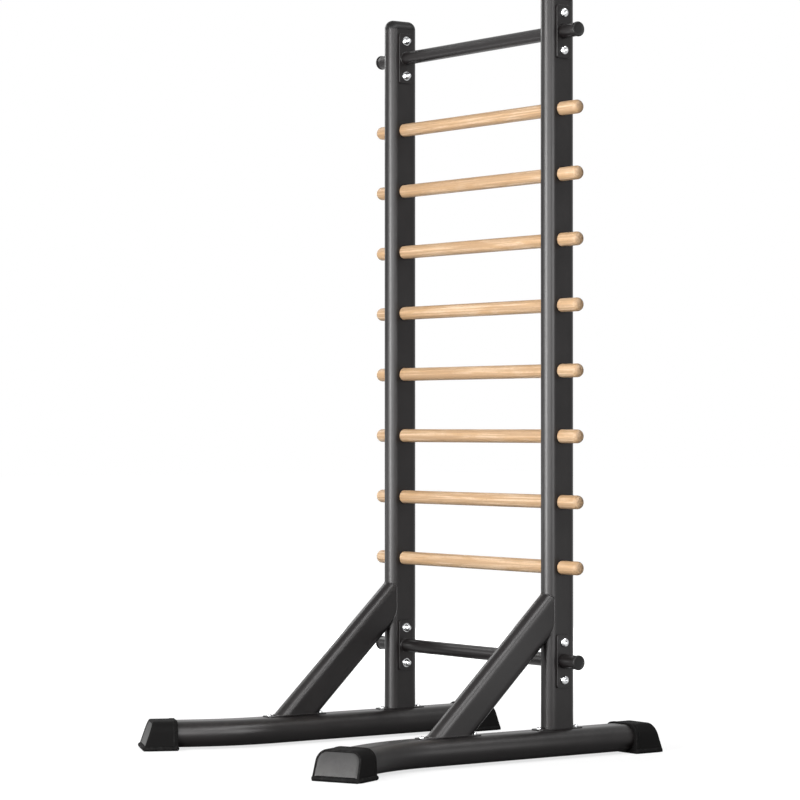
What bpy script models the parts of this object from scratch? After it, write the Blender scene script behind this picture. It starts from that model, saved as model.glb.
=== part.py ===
"""Free-standing climbing ladder: oval steel uprights, wooden rungs, braces and splayed feet.

Metres, +Z up, floor at z = 0. X runs along the rungs and the braces stand in front, towards -Y.
The origin lies on the floor in the middle of the box that the whole ladder fills.
"""

import math

import bmesh
import bpy
from mathutils import Matrix, Vector

# Gap left between pieces that touch
FIT = 0.0003

# Uprights: flat-oval tube standing on the feet
UPRIGHT_SPACING = 0.736
UPRIGHT_THICKNESS = 0.050
UPRIGHT_DEPTH = 0.100
UPRIGHT_WALL = 0.0025

# Heights, from the floor upwards
BOTTOM_BAR_HEIGHT = 0.2655
BOTTOM_BAR_TO_RUNG = 0.2565
RUNG_PITCH = 0.180
RUNG_COUNT = 8
RUNG_TO_TOP_BAR = 0.2115
TOP_BAR_TO_TUBE_END = 0.0875

# Domed caps of the uprights
TOP_CAP_RISE = 0.026
TOP_CAP_INSERT = 0.020

# Wooden rungs
RUNG_DIAMETER = 0.038
RUNG_OVERHANG = 0.076
RUNG_END_ROUND = 0.013

# Steel crossbars with their flange plates and end plugs
BAR_DIAMETER = 0.038
BAR_WALL = 0.0025
BAR_OVERHANG = 0.0645
PLUG_RIM = 0.0015
PLUG_THICKNESS = 0.006
PLUG_INSERT = 0.018
FLANGE_WIDTH = 0.048
FLANGE_HEIGHT = 0.146
FLANGE_THICKNESS = 0.006
FLANGE_CORNER = 0.006
FLANGE_BOLT_RISE = 0.0515

# Bolts through the flange plates, with a cap nut on the inner side
BOLT_DIAMETER = 0.012
BOLT_HEAD_OVERHANG = 0.0065
BOLT_HEAD_HEIGHT = 0.0075
BOLT_SOCKET = 0.008
BOLT_SOCKET_DEPTH = 0.004
BOLT_PAST_NUT_FACE = 0.010
NUT_WALL = 0.0035
NUT_RIM = 0.0025
NUT_RIM_THICKNESS = 0.0025
NUT_HEX_HEIGHT = 0.0065
NUT_DOME_HEIGHT = 0.009

# Feet: wide flat-oval tube, bent outwards in front of the braces
FOOT_WIDTH = 0.118
FOOT_HEIGHT = 0.073
FOOT_WALL = 0.003
FOOT_LIFT = 0.0055
HEEL_REACH = 0.325
BEND_AHEAD = 0.5815
BEND_ANGLE = math.radians(25.0)
BEND_RADIUS = 0.500
TOE_REACH = 0.264

# Plastic caps over the foot ends
CAP_SIDE_WALL = 0.008
CAP_TOP_WALL = 0.0035
CAP_TOP_RISE = 0.002
CAP_SPREAD = 0.05
CAP_SOCKET = 0.045
CAP_END_WALL = 0.025
CAP_LEAN = 0.028
CAP_TOP_ROUND = 0.030
CAP_BOTTOM_ROUND = 0.004
CAP_BEAD = 0.001
CAP_BEAD_LENGTH = 0.013
CAP_BORDER = 0.003
CAP_BORDER_RISE = 0.0015
CAP_EDGE_ROUND = 0.0025
LIP_FLARE = 0.007
LIP_THICKNESS = 0.013
LIP_CORNER = 0.026

# Braces: flat-oval tube from the foot to the front of the upright
BRACE_THICKNESS = 0.050
BRACE_DEPTH = 0.100
BRACE_WALL = 0.0025
BRACE_ANGLE = math.radians(43.2)
BRACE_REACH = 0.374

# Base plates under the uprights and braces, each held by two bolts
PLATE_WIDTH = 0.044
PLATE_THICKNESS = 0.0025
PLATE_TAB = 0.027
PLATE_CORNER = 0.010
PLATE_BOLT_INSET = 0.012
PLATE_BOLT_DIAMETER = 0.008
PLATE_BOLT_OVERHANG = 0.0035
PLATE_BOLT_HEAD = 0.005
PLATE_BOLT_SOCKET = 0.005
PLATE_BOLT_SOCKET_DEPTH = 0.0025
BOSS_WALL = 0.005
BOSS_DEPTH = 0.012

# How finely round shapes are divided
ROUND_SIDES = 16
BOLT_SIDES = 12
OVAL_STEPS = 8
CORNER_STEPS = 5
BEND_STEPS = 6
DOME_STEPS = 4

# Places that follow from the sizes
UPRIGHT_X = UPRIGHT_SPACING / 2
CAP_LENGTH = CAP_SOCKET + CAP_END_WALL + CAP_LEAN
CAP_WIDTH = FOOT_WIDTH + 2 * CAP_SIDE_WALL
CAP_HEIGHT = FOOT_LIFT + FOOT_HEIGHT + CAP_TOP_WALL
LIP_HALF_WIDTH = CAP_WIDTH * (1 + CAP_SPREAD) / 2 + LIP_FLARE
FRONT_REACH = (
    BEND_AHEAD
    + (TOE_REACH + LIP_FLARE - LIP_CORNER) * math.cos(BEND_ANGLE)
    + (LIP_HALF_WIDTH - LIP_CORNER) * math.sin(BEND_ANGLE)
    + LIP_CORNER
)
UPRIGHT_Y = (FRONT_REACH - HEEL_REACH - LIP_FLARE) / 2
FOOT_TOP = FOOT_LIFT + FOOT_HEIGHT
PLATE_BOTTOM = FOOT_TOP + FIT
PLATE_TOP = PLATE_BOTTOM + PLATE_THICKNESS
TUBE_BOTTOM = PLATE_TOP + FIT
LOWEST_RUNG = BOTTOM_BAR_HEIGHT + BOTTOM_BAR_TO_RUNG
RUNG_HEIGHTS = [LOWEST_RUNG + index * RUNG_PITCH for index in range(RUNG_COUNT)]
TOP_BAR_HEIGHT = RUNG_HEIGHTS[-1] + RUNG_TO_TOP_BAR
TUBE_TOP = TOP_BAR_HEIGHT + TOP_BAR_TO_TUBE_END
BAR_HEIGHTS = {"bottom": BOTTOM_BAR_HEIGHT, "top": TOP_BAR_HEIGHT}
SIDES = {"left": -1, "right": 1}
BRACE_RUN = BRACE_DEPTH / math.sin(BRACE_ANGLE)
FLANGE_OUT = UPRIGHT_THICKNESS / 2 + FIT + FLANGE_THICKNESS

ALONG_X = Vector((1, 0, 0))
ALONG_Y = Vector((0, 1, 0))
ALONG_Z = Vector((0, 0, 1))
QUARTER_TURN = math.pi / 2


def clear_scene():
    for item in list(bpy.data.objects):
        bpy.data.objects.remove(item, do_unlink=True)


def make_material(name, colour, roughness, metallic):
    material = bpy.data.materials.new(name)
    material.use_nodes = True
    shader = material.node_tree.nodes["Principled BSDF"]
    shader.inputs["Base Color"].default_value = (*colour, 1.0)
    shader.inputs["Roughness"].default_value = roughness
    shader.inputs["Metallic"].default_value = metallic
    return material


def add_object(name, mesh, material=None, location=(0, 0, 0), turn=(0, 0, 0)):
    piece = bpy.data.objects.new(name, mesh)
    bpy.context.scene.collection.objects.link(piece)
    piece.location = location
    piece.rotation_euler = turn
    if material:
        if not mesh.materials:
            mesh.materials.append(material)
        piece.parent = ROOT
    return piece


def finish_mesh(name, bm):
    bmesh.ops.recalc_face_normals(bm, faces=bm.faces)
    mesh = bpy.data.meshes.new(name)
    bm.to_mesh(mesh)
    bm.free()
    mesh.shade_smooth()
    mesh.set_sharp_from_angle(angle=math.radians(35))
    return mesh


def loft(name, rings):
    """Closed solid through rings of points with equal counts, with a flat cap at each end."""
    bm = bmesh.new()
    loops = [[bm.verts.new(point) for point in ring] for ring in rings]
    for near, far in zip(loops, loops[1:]):
        for index in range(len(near)):
            after = (index + 1) % len(near)
            bm.faces.new((near[index], near[after], far[after], far[index]))
    bm.faces.new(loops[0])
    bm.faces.new(loops[-1])
    return finish_mesh(name, bm)


def arc(centre, radius, start, sweep, steps):
    """Points of a circular arc, both ends included, as (u, v) pairs."""
    angles = [start + sweep * index / steps for index in range(steps + 1)]
    return [(centre[0] + radius * math.cos(a), centre[1] + radius * math.sin(a)) for a in angles]


def circle(radius, height, sides):
    angles = [2 * math.pi * index / sides for index in range(sides)]
    return [(radius * math.cos(a), radius * math.sin(a), height) for a in angles]


def hexagon(across_flats, height, sides):
    """Hexagon drawn with as many points as a circle of the same sides, six of them corners."""
    points = []
    for index in range(sides):
        angle = 2 * math.pi * index / sides
        from_flat = (angle + math.pi / 6) % (math.pi / 3) - math.pi / 6
        radius = across_flats / 2 / math.cos(math.pi / 6 - abs(from_flat))
        points.append((radius * math.cos(angle), radius * math.sin(angle), height))
    return points


def oval(thickness, depth):
    """Flat-oval outline: two straight sides joined by half circles at -v and +v."""
    radius = thickness / 2
    straight = depth / 2 - radius
    far_end = arc((0, straight), radius, 0, math.pi, OVAL_STEPS)
    near_end = arc((0, -straight), radius, math.pi, math.pi, OVAL_STEPS)
    return far_end + near_end


def rounded_box(half_u, low_v, high_v, low_round, high_round):
    """Rectangle outline with one corner radius at its low side and one at its high side."""
    corners = (
        ((half_u - high_round, high_v - high_round), high_round, 0),
        ((-half_u + high_round, high_v - high_round), high_round, QUARTER_TURN),
        ((-half_u + low_round, low_v + low_round), low_round, math.pi),
        ((half_u - low_round, low_v + low_round), low_round, 3 * QUARTER_TURN),
    )
    outline = []
    for centre, radius, start in corners:
        outline += arc(centre, radius, start, QUARTER_TURN, CORNER_STEPS)
    return outline


def upright_ring(outline, height):
    return [(u, v, height) for u, v in outline]


def prism(name, outline, bottom, top):
    return loft(name, [upright_ring(outline, bottom), upright_ring(outline, top)])


def bores(name, holes, sides=ROUND_SIDES):
    """One cutter object holding a straight round bore for each (centre, direction, diameter, length)."""
    bm = bmesh.new()
    for centre, direction, diameter, length in holes:
        facing = direction.to_track_quat("Z", "Y").to_matrix().to_4x4()
        bmesh.ops.create_cone(
            bm,
            cap_ends=True,
            segments=sides,
            radius1=diameter / 2,
            radius2=diameter / 2,
            depth=length,
            matrix=Matrix.Translation(centre) @ facing,
        )
    return add_object(name, finish_mesh(name, bm))


def combine(piece, other, operation):
    """Join or cut with another object, which stays in the file as a hidden tool."""
    other.hide_render = True
    other.display_type = "WIRE"
    modifier = piece.modifiers.new(other.name, "BOOLEAN")
    modifier.solver = "EXACT"
    modifier.operation = operation
    modifier.object = other


def make_uprights():
    depth_past = 2 * UPRIGHT_THICKNESS
    outside = prism("upright", oval(UPRIGHT_THICKNESS, UPRIGHT_DEPTH), TUBE_BOTTOM, TUBE_TOP)
    inside_outline = oval(UPRIGHT_THICKNESS - 2 * UPRIGHT_WALL, UPRIGHT_DEPTH - 2 * UPRIGHT_WALL)
    inside = prism("upright_bore", inside_outline, TUBE_BOTTOM - FIT, TUBE_TOP + FIT)
    round_holes = [(height, RUNG_DIAMETER) for height in RUNG_HEIGHTS]
    round_holes += [(height, BAR_DIAMETER) for height in BAR_HEIGHTS.values()]
    bolt_heights = [h + s * FLANGE_BOLT_RISE for h in BAR_HEIGHTS.values() for s in (-1, 1)]
    for side, sign in SIDES.items():
        centre = Vector((sign * UPRIGHT_X, UPRIGHT_Y, 0))
        piece = add_object(f"{side}_upright", outside, STEEL, centre)
        combine(piece, add_object(f"{side}_upright_bore", inside, location=centre), "DIFFERENCE")
        holes = [(centre + ALONG_Z * h, ALONG_X, d + 2 * FIT, depth_past) for h, d in round_holes]
        combine(piece, bores(f"{side}_rung_holes", holes), "DIFFERENCE")
        bolt_bore = BOLT_DIAMETER + 2 * FIT
        holes = [(centre + ALONG_Z * h, ALONG_X, bolt_bore, depth_past) for h in bolt_heights]
        combine(piece, bores(f"{side}_bolt_holes", holes, BOLT_SIDES), "DIFFERENCE")


def make_top_caps():
    """Plug inside the tube, then a dome that draws in like a quarter ellipse."""
    inset = UPRIGHT_WALL + FIT
    plug = oval(UPRIGHT_THICKNESS - 2 * inset, UPRIGHT_DEPTH - 2 * inset)
    rings = [upright_ring(plug, -TOP_CAP_INSERT), upright_ring(plug, FIT)]
    drawn_in = UPRIGHT_THICKNESS / 2 - FIT
    for step in range(DOME_STEPS + 1):
        angle = QUARTER_TURN * step / (DOME_STEPS + 0.5)
        inset = drawn_in * (1 - math.cos(angle))
        outline = oval(UPRIGHT_THICKNESS - 2 * inset, UPRIGHT_DEPTH - 2 * inset)
        rings.append(upright_ring(outline, FIT + TOP_CAP_RISE * math.sin(angle)))
    mesh = loft("upright_top_cap", rings)
    for side, sign in SIDES.items():
        add_object(f"{side}_upright_top_cap", mesh, PLASTIC, (sign * UPRIGHT_X, UPRIGHT_Y, TUBE_TOP))


def make_rungs():
    """Dowels along X with a rounded edge at each end."""
    half = UPRIGHT_X + UPRIGHT_THICKNESS / 2 + RUNG_OVERHANG
    flat = RUNG_DIAMETER / 2 - RUNG_END_ROUND
    start = half - RUNG_END_ROUND
    edge = arc((flat, start), RUNG_END_ROUND, 0, QUARTER_TURN, DOME_STEPS - 1)
    profile = [(radius, -height) for radius, height in reversed(edge)] + edge
    mesh = loft("rung", [circle(radius, height, ROUND_SIDES) for radius, height in profile])
    for number, height in enumerate(RUNG_HEIGHTS, start=1):
        add_object(f"rung_{number}", mesh, WOOD, (0, UPRIGHT_Y, height), (0, QUARTER_TURN, 0))


def flange_outline():
    return rounded_box(
        FLANGE_WIDTH / 2, -FLANGE_HEIGHT / 2, FLANGE_HEIGHT / 2, FLANGE_CORNER, FLANGE_CORNER
    )


def flange_mesh(low_x, high_x):
    rings = [[(x, u, v) for u, v in flange_outline()] for x in (low_x, high_x)]
    return loft("flange_plate", rings)


def flange_bolt_holes(centre, length):
    places = [centre + ALONG_Z * (sign * FLANGE_BOLT_RISE) for sign in (-1, 1)]
    return [(place, ALONG_X, BOLT_DIAMETER + 2 * FIT, length) for place in places]


def make_crossbars():
    """Tube through both uprights, with a plate welded on against each upright's inner face."""
    half = UPRIGHT_X + UPRIGHT_THICKNESS / 2 + BAR_OVERHANG
    outside = loft("crossbar", [circle(BAR_DIAMETER / 2, end * half, ROUND_SIDES) for end in (-1, 1)])
    for name, height in BAR_HEIGHTS.items():
        centre = Vector((0, UPRIGHT_Y, height))
        bar = add_object(f"{name}_crossbar", outside, STEEL, centre, (0, QUARTER_TURN, 0))
        for side, sign in SIDES.items():
            middle = centre + ALONG_X * (sign * UPRIGHT_X)
            inner_face = -sign * (UPRIGHT_THICKNESS / 2 + FIT)
            mesh = flange_mesh(inner_face, inner_face - sign * FLANGE_THICKNESS)
            plate = add_object(f"{side}_{name}_inner_plate", mesh, location=middle)
            combine(bar, plate, "UNION")
            tool = bores(
                f"{side}_{name}_inner_holes", flange_bolt_holes(middle, UPRIGHT_THICKNESS * 2), BOLT_SIDES
            )
            combine(bar, tool, "DIFFERENCE")
        hollow = (centre, ALONG_X, BAR_DIAMETER - 2 * BAR_WALL, 2 * half + 2 * BAR_WALL)
        combine(bar, bores(f"{name}_crossbar_bore", [hollow]), "DIFFERENCE")


def make_outer_plates():
    """Plates on the outer faces, threaded over the crossbar and sharing its bolts."""
    for name, height in BAR_HEIGHTS.items():
        for side, sign in SIDES.items():
            middle = Vector((sign * UPRIGHT_X, UPRIGHT_Y, height))
            mesh = flange_mesh(sign * (FLANGE_OUT - FLANGE_THICKNESS), sign * FLANGE_OUT)
            plate = add_object(f"{side}_{name}_outer_plate", mesh, STEEL, middle)
            bar_hole = (middle, ALONG_X, BAR_DIAMETER + 2 * FIT, UPRIGHT_THICKNESS * 2)
            combine(plate, bores(f"{side}_{name}_outer_bar_hole", [bar_hole]), "DIFFERENCE")
            tool = bores(
                f"{side}_{name}_outer_holes", flange_bolt_holes(middle, UPRIGHT_THICKNESS * 2), BOLT_SIDES
            )
            combine(plate, tool, "DIFFERENCE")


def make_plugs():
    """Turned plastic plug: a stem inside the bar and a rimmed, slightly domed end."""
    stem = BAR_DIAMETER / 2 - BAR_WALL - FIT
    rim = BAR_DIAMETER / 2 + PLUG_RIM
    crown = PLUG_THICKNESS / 2
    profile = [(stem, -PLUG_INSERT), (stem, FIT), (rim, FIT), (rim, FIT + PLUG_THICKNESS - crown)]
    for step in range(1, 4):
        angle = QUARTER_TURN * step / 3
        height = FIT + PLUG_THICKNESS - crown * (1 - math.sin(angle))
        profile.append((rim - crown * (1 - math.cos(angle)), height))
    mesh = loft("crossbar_end_plug", [circle(radius, height, ROUND_SIDES) for radius, height in profile])
    end = UPRIGHT_X + UPRIGHT_THICKNESS / 2 + BAR_OVERHANG
    for name, height in BAR_HEIGHTS.items():
        for side, sign in SIDES.items():
            place = (sign * end, UPRIGHT_Y, height)
            add_object(f"{side}_{name}_crossbar_plug", mesh, PLASTIC, place, (0, sign * QUARTER_TURN, 0))


def button_head(shank, overhang, head_height, socket, socket_depth, length):
    """Rings of a round-headed socket bolt that hangs down from z = 0 under its head."""
    head = shank / 2 + overhang
    crown = socket / math.sqrt(3) + (head - socket / math.sqrt(3)) / 4
    edge = head_height / 4
    rings = [circle(shank / 2, -length, BOLT_SIDES), circle(shank / 2, 0, BOLT_SIDES)]
    rings += [circle(head, 0, BOLT_SIDES), circle(head, edge, BOLT_SIDES)]
    for step in range(1, 4):
        angle = QUARTER_TURN * step / 3
        radius = crown + (head - crown) * math.cos(angle)
        rings.append(circle(radius, edge + (head_height - edge) * math.sin(angle), BOLT_SIDES))
    rings.append(hexagon(socket, head_height, BOLT_SIDES))
    rings.append(hexagon(socket, head_height - socket_depth, BOLT_SIDES))
    return rings


def cap_nut():
    """Rings of a domed nut, from the end of its blind bore round to the top of its dome."""
    bore = BOLT_DIAMETER / 2 + FIT
    flats = BOLT_DIAMETER + 2 * NUT_WALL
    rim = flats / math.sqrt(3) + NUT_RIM
    hex_top = NUT_RIM_THICKNESS + NUT_HEX_HEIGHT
    dome = bore + NUT_WALL * 0.7
    rings = [circle(bore, BOLT_PAST_NUT_FACE + FIT, BOLT_SIDES), circle(bore, 0, BOLT_SIDES)]
    rings += [circle(rim, 0, BOLT_SIDES), circle(rim, NUT_RIM_THICKNESS, BOLT_SIDES)]
    rings += [hexagon(flats, NUT_RIM_THICKNESS, BOLT_SIDES), hexagon(flats, hex_top, BOLT_SIDES)]
    for step in range(DOME_STEPS):
        angle = QUARTER_TURN * step / DOME_STEPS
        height = hex_top + NUT_DOME_HEIGHT * math.sin(angle)
        rings.append(circle(dome * math.cos(angle), height, BOLT_SIDES))
    return rings


def make_flange_bolts():
    grip = 2 * FLANGE_OUT + 2 * FIT
    length = grip + BOLT_PAST_NUT_FACE
    bolt = loft(
        "flange_bolt",
        button_head(
            BOLT_DIAMETER, BOLT_HEAD_OVERHANG, BOLT_HEAD_HEIGHT, BOLT_SOCKET, BOLT_SOCKET_DEPTH, length
        ),
    )
    nut = loft("flange_cap_nut", cap_nut())
    for name, height in BAR_HEIGHTS.items():
        for side, sign in SIDES.items():
            for level, rise in (("lower", -FLANGE_BOLT_RISE), ("upper", FLANGE_BOLT_RISE)):
                label = f"{side}_{name}_{level}"
                face = FLANGE_OUT + FIT
                outer = (sign * (UPRIGHT_X + face), UPRIGHT_Y, height + rise)
                inner = (sign * (UPRIGHT_X - face), UPRIGHT_Y, height + rise)
                add_object(f"{label}_bolt", bolt, ZINC, outer, (0, sign * QUARTER_TURN, 0))
                add_object(f"{label}_cap_nut", nut, ZINC, inner, (0, -sign * QUARTER_TURN, 0))


def foot_stations(sign, past_end):
    """Centre points and headings along a foot, from heel to toe, in plan."""
    tangent = BEND_RADIUS * math.tan(BEND_ANGLE / 2)
    into_cap = CAP_LEAN + CAP_END_WALL + FIT - past_end
    stations = [(Vector((0, HEEL_REACH - into_cap, 0)), 0.0)]
    start = -(BEND_AHEAD - tangent)
    for step in range(BEND_STEPS + 1):
        angle = BEND_ANGLE * step / BEND_STEPS
        across = BEND_RADIUS * (1 - math.cos(angle))
        stations.append((Vector((sign * across, start - BEND_RADIUS * math.sin(angle), 0)), angle))
    stations.append((toe_point(sign, TOE_REACH - into_cap), BEND_ANGLE))
    return stations


def toe_point(sign, distance):
    """Point on the bent front run, at a distance from where the two straight runs would cross."""
    across = sign * distance * math.sin(BEND_ANGLE)
    return Vector((across, -BEND_AHEAD - distance * math.cos(BEND_ANGLE), 0))


def foot_tube(name, sign, inset, past_end):
    width = FOOT_WIDTH - 2 * inset
    outline = oval(FOOT_HEIGHT - 2 * inset, width)
    middle = FOOT_LIFT + FOOT_HEIGHT / 2
    rings = []
    for point, angle in foot_stations(sign, past_end):
        lateral = Vector((math.cos(angle), sign * math.sin(angle), 0))
        rings.append([point + lateral * v + ALONG_Z * (middle + u) for u, v in outline])
    return loft(name, rings)


def plate_bolt_offsets(run):
    """Distances from a base plate's middle to its two bolts, for a tube of this length on the plate."""
    reach = run / 2 + PLATE_TAB - PLATE_BOLT_INSET
    return (-reach, reach)


def base_plates():
    """Name, distance from the uprights and length of tube for each kind of base plate."""
    return (("upright", 0.0, UPRIGHT_DEPTH), ("brace", -BRACE_REACH, BRACE_RUN))


def make_feet():
    """Bent tube with weld nuts under its top wall for the base plate bolts."""
    boss_width = PLATE_BOLT_DIAMETER + 2 * BOSS_WALL
    boss_top = FOOT_TOP - FOOT_WALL / 2
    boss_length = BOSS_DEPTH + FOOT_WALL / 2
    for side, sign in SIDES.items():
        centre = Vector((sign * UPRIGHT_X, UPRIGHT_Y, 0))
        foot = add_object(f"{side}_foot", foot_tube("foot", sign, 0, 0), STEEL, centre)
        hollow = foot_tube("foot_bore", sign, FOOT_WALL, FIT)
        combine(foot, add_object(f"{side}_foot_bore", hollow, location=centre), "DIFFERENCE")
        bosses, holes = [], []
        for _, distance, run in base_plates():
            for offset in plate_bolt_offsets(run):
                spot = centre + ALONG_Y * (distance + offset)
                middle = spot + ALONG_Z * (boss_top - boss_length / 2)
                bosses.append((middle, ALONG_Z, boss_width, boss_length))
                hole_middle = spot + ALONG_Z * boss_top
                holes.append((hole_middle, ALONG_Z, PLATE_BOLT_DIAMETER + 2 * FIT, 3 * boss_length))
        combine(foot, bores(f"{side}_weld_nuts", bosses, BOLT_SIDES), "UNION")
        combine(foot, bores(f"{side}_weld_nut_bores", holes, BOLT_SIDES), "DIFFERENCE")


def foot_cap_body():
    """Rings from the mouth of the cap to its leaning end face, with a raised border.

    The cap is wider at the floor than at the top, and its top rises a little towards the end.
    """
    end = CAP_SOCKET + CAP_END_WALL

    def ring(inset, along, lean):
        top = CAP_HEIGHT + CAP_TOP_RISE * along / end
        outline = rounded_box(
            CAP_WIDTH / 2 - inset, max(inset, 0), top - inset, CAP_BOTTOM_ROUND, CAP_TOP_ROUND - inset
        )
        points = []
        for u, v in outline:
            down = 1 - v / top
            points.append((u * (1 + CAP_SPREAD * down), along + lean * down, v))
        return points

    inner_border = CAP_EDGE_ROUND + CAP_BORDER
    return [
        ring(-CAP_BEAD, 0, 0),
        ring(-CAP_BEAD, CAP_BEAD_LENGTH, 0),
        ring(0, CAP_BEAD_LENGTH + CAP_BEAD, 0),
        ring(0, end - CAP_EDGE_ROUND, CAP_LEAN),
        ring(CAP_EDGE_ROUND, end, CAP_LEAN),
        ring(inner_border, end, CAP_LEAN),
        ring(inner_border + CAP_BORDER_RISE, end - CAP_BORDER_RISE, CAP_LEAN),
    ]


def foot_cap_lip():
    """Flared skirt on the floor, round in front and rounded off behind, with a rolled upper edge."""

    def ring(inset, height):
        outline = rounded_box(
            LIP_HALF_WIDTH - inset,
            CAP_BEAD_LENGTH + inset,
            CAP_LENGTH + LIP_FLARE - inset,
            LIP_CORNER / 2,
            LIP_CORNER,
        )
        return upright_ring(outline, height)

    roll = LIP_FLARE * 0.75
    rings = [ring(0, 0), ring(0, LIP_THICKNESS - roll)]
    for step in range(1, 4):
        angle = QUARTER_TURN * step / 3
        rings.append(ring(roll * (1 - math.cos(angle)), LIP_THICKNESS - roll * (1 - math.sin(angle))))
    return rings


def make_foot_caps():
    body = loft("foot_cap", foot_cap_body())
    lip = loft("foot_cap_lip", foot_cap_lip())
    pocket_outline = oval(FOOT_HEIGHT + 2 * FIT, FOOT_WIDTH + 2 * FIT)
    middle = FOOT_LIFT + FOOT_HEIGHT / 2
    ends = (-CAP_BEAD, CAP_SOCKET)
    pocket_rings = [[(v, along, middle + u) for u, v in pocket_outline] for along in ends]
    pocket = loft("foot_cap_socket", pocket_rings)
    for side, sign in SIDES.items():
        upright = Vector((sign * UPRIGHT_X, UPRIGHT_Y, 0))
        places = {
            "front": (upright + toe_point(sign, TOE_REACH - CAP_LENGTH), math.pi + sign * BEND_ANGLE),
            "back": (upright + ALONG_Y * (HEEL_REACH - CAP_LENGTH), 0.0),
        }
        for name, (place, heading) in places.items():
            turn = (0, 0, heading)
            cap = add_object(f"{side}_{name}_foot_cap", body, PLASTIC, place, turn)
            combine(cap, add_object(f"{side}_{name}_cap_lip", lip, None, place, turn), "UNION")
            combine(cap, add_object(f"{side}_{name}_cap_socket", pocket, None, place, turn), "DIFFERENCE")


def brace_tube(name, inset, past_end):
    """Slanted tube cut level at the foot and upright at the ladder, at x = 0 and y from the uprights."""
    along = Vector((0, math.cos(BRACE_ANGLE), math.sin(BRACE_ANGLE)))
    square = Vector((0, -math.sin(BRACE_ANGLE), math.cos(BRACE_ANGLE)))
    start = Vector((0, -BRACE_REACH, FOOT_TOP))
    low = TUBE_BOTTOM - past_end
    back = -(UPRIGHT_DEPTH - UPRIGHT_THICKNESS) / 2 + past_end
    outline = oval(BRACE_THICKNESS - 2 * inset, BRACE_DEPTH - 2 * inset)
    points = [start + ALONG_X * u + square * v for u, v in outline]
    bottom = [p + along * ((low - p.z) / along.z) for p in points]
    top = [p + along * ((back - p.y) / along.y) for p in points]
    return loft(name, [bottom, top])


def make_braces():
    outside = brace_tube("brace", 0, 0)
    hollow = brace_tube("brace_bore", BRACE_WALL, FIT)
    notch_outline = oval(UPRIGHT_THICKNESS + 2 * FIT, UPRIGHT_DEPTH + 2 * FIT)
    notch = prism("brace_notch", notch_outline, TUBE_BOTTOM, TUBE_TOP)
    for side, sign in SIDES.items():
        centre = Vector((sign * UPRIGHT_X, UPRIGHT_Y, 0))
        brace = add_object(f"{side}_brace", outside, STEEL, centre)
        for label, mesh in (("bore", hollow), ("notch", notch)):
            tool = add_object(f"{side}_brace_{label}", mesh, location=centre)
            combine(brace, tool, "DIFFERENCE")


def make_base_plates():
    bolt_length = PLATE_THICKNESS + FOOT_WALL + BOSS_DEPTH
    bolt = loft(
        "base_bolt",
        button_head(
            PLATE_BOLT_DIAMETER,
            PLATE_BOLT_OVERHANG,
            PLATE_BOLT_HEAD,
            PLATE_BOLT_SOCKET,
            PLATE_BOLT_SOCKET_DEPTH,
            bolt_length,
        ),
    )
    for kind, distance, run in base_plates():
        half = run / 2 + PLATE_TAB
        outline = rounded_box(PLATE_WIDTH / 2, -half, half, PLATE_CORNER, PLATE_CORNER)
        mesh = prism(f"{kind}_base_plate", outline, PLATE_BOTTOM, PLATE_TOP)
        for side, sign in SIDES.items():
            centre = Vector((sign * UPRIGHT_X, UPRIGHT_Y + distance, 0))
            plate = add_object(f"{side}_{kind}_base_plate", mesh, STEEL, centre)
            spots = [centre + ALONG_Y * offset for offset in plate_bolt_offsets(run)]
            bore = PLATE_BOLT_DIAMETER + 2 * FIT
            holes = [(spot + ALONG_Z * PLATE_TOP, ALONG_Z, bore, FOOT_TOP) for spot in spots]
            combine(plate, bores(f"{side}_{kind}_plate_holes", holes, BOLT_SIDES), "DIFFERENCE")
            for end, spot in zip(("front", "back"), spots):
                place = spot + ALONG_Z * (PLATE_TOP + FIT)
                add_object(f"{side}_{kind}_{end}_base_bolt", bolt, ZINC, place)


clear_scene()
ROOT = bpy.data.objects.new("climbing_ladder", None)
bpy.context.scene.collection.objects.link(ROOT)
STEEL = make_material("black_powder_coat", (0.035, 0.035, 0.037), 0.42, 0.0)
PLASTIC = make_material("black_plastic", (0.022, 0.022, 0.023), 0.5, 0.0)
WOOD = make_material("pale_beech", (0.72, 0.50, 0.29), 0.55, 0.0)
ZINC = make_material("bright_zinc", (0.78, 0.78, 0.77), 0.22, 1.0)

make_uprights()
make_top_caps()
make_rungs()
make_crossbars()
make_outer_plates()
make_plugs()
make_flange_bolts()
make_feet()
make_foot_caps()
make_braces()
make_base_plates()
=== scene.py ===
# %% [markdown]
# # Dressing a climbing ladder station
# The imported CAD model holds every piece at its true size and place. This lesson builds a finer
# surface for each of those pieces, gives it a finish made of shader nodes, and sets up a camera and a
# plain studio. Everything is in metres, with the floor at z = 0 and the rungs along X.

# %% Load the frame
import math

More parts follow.
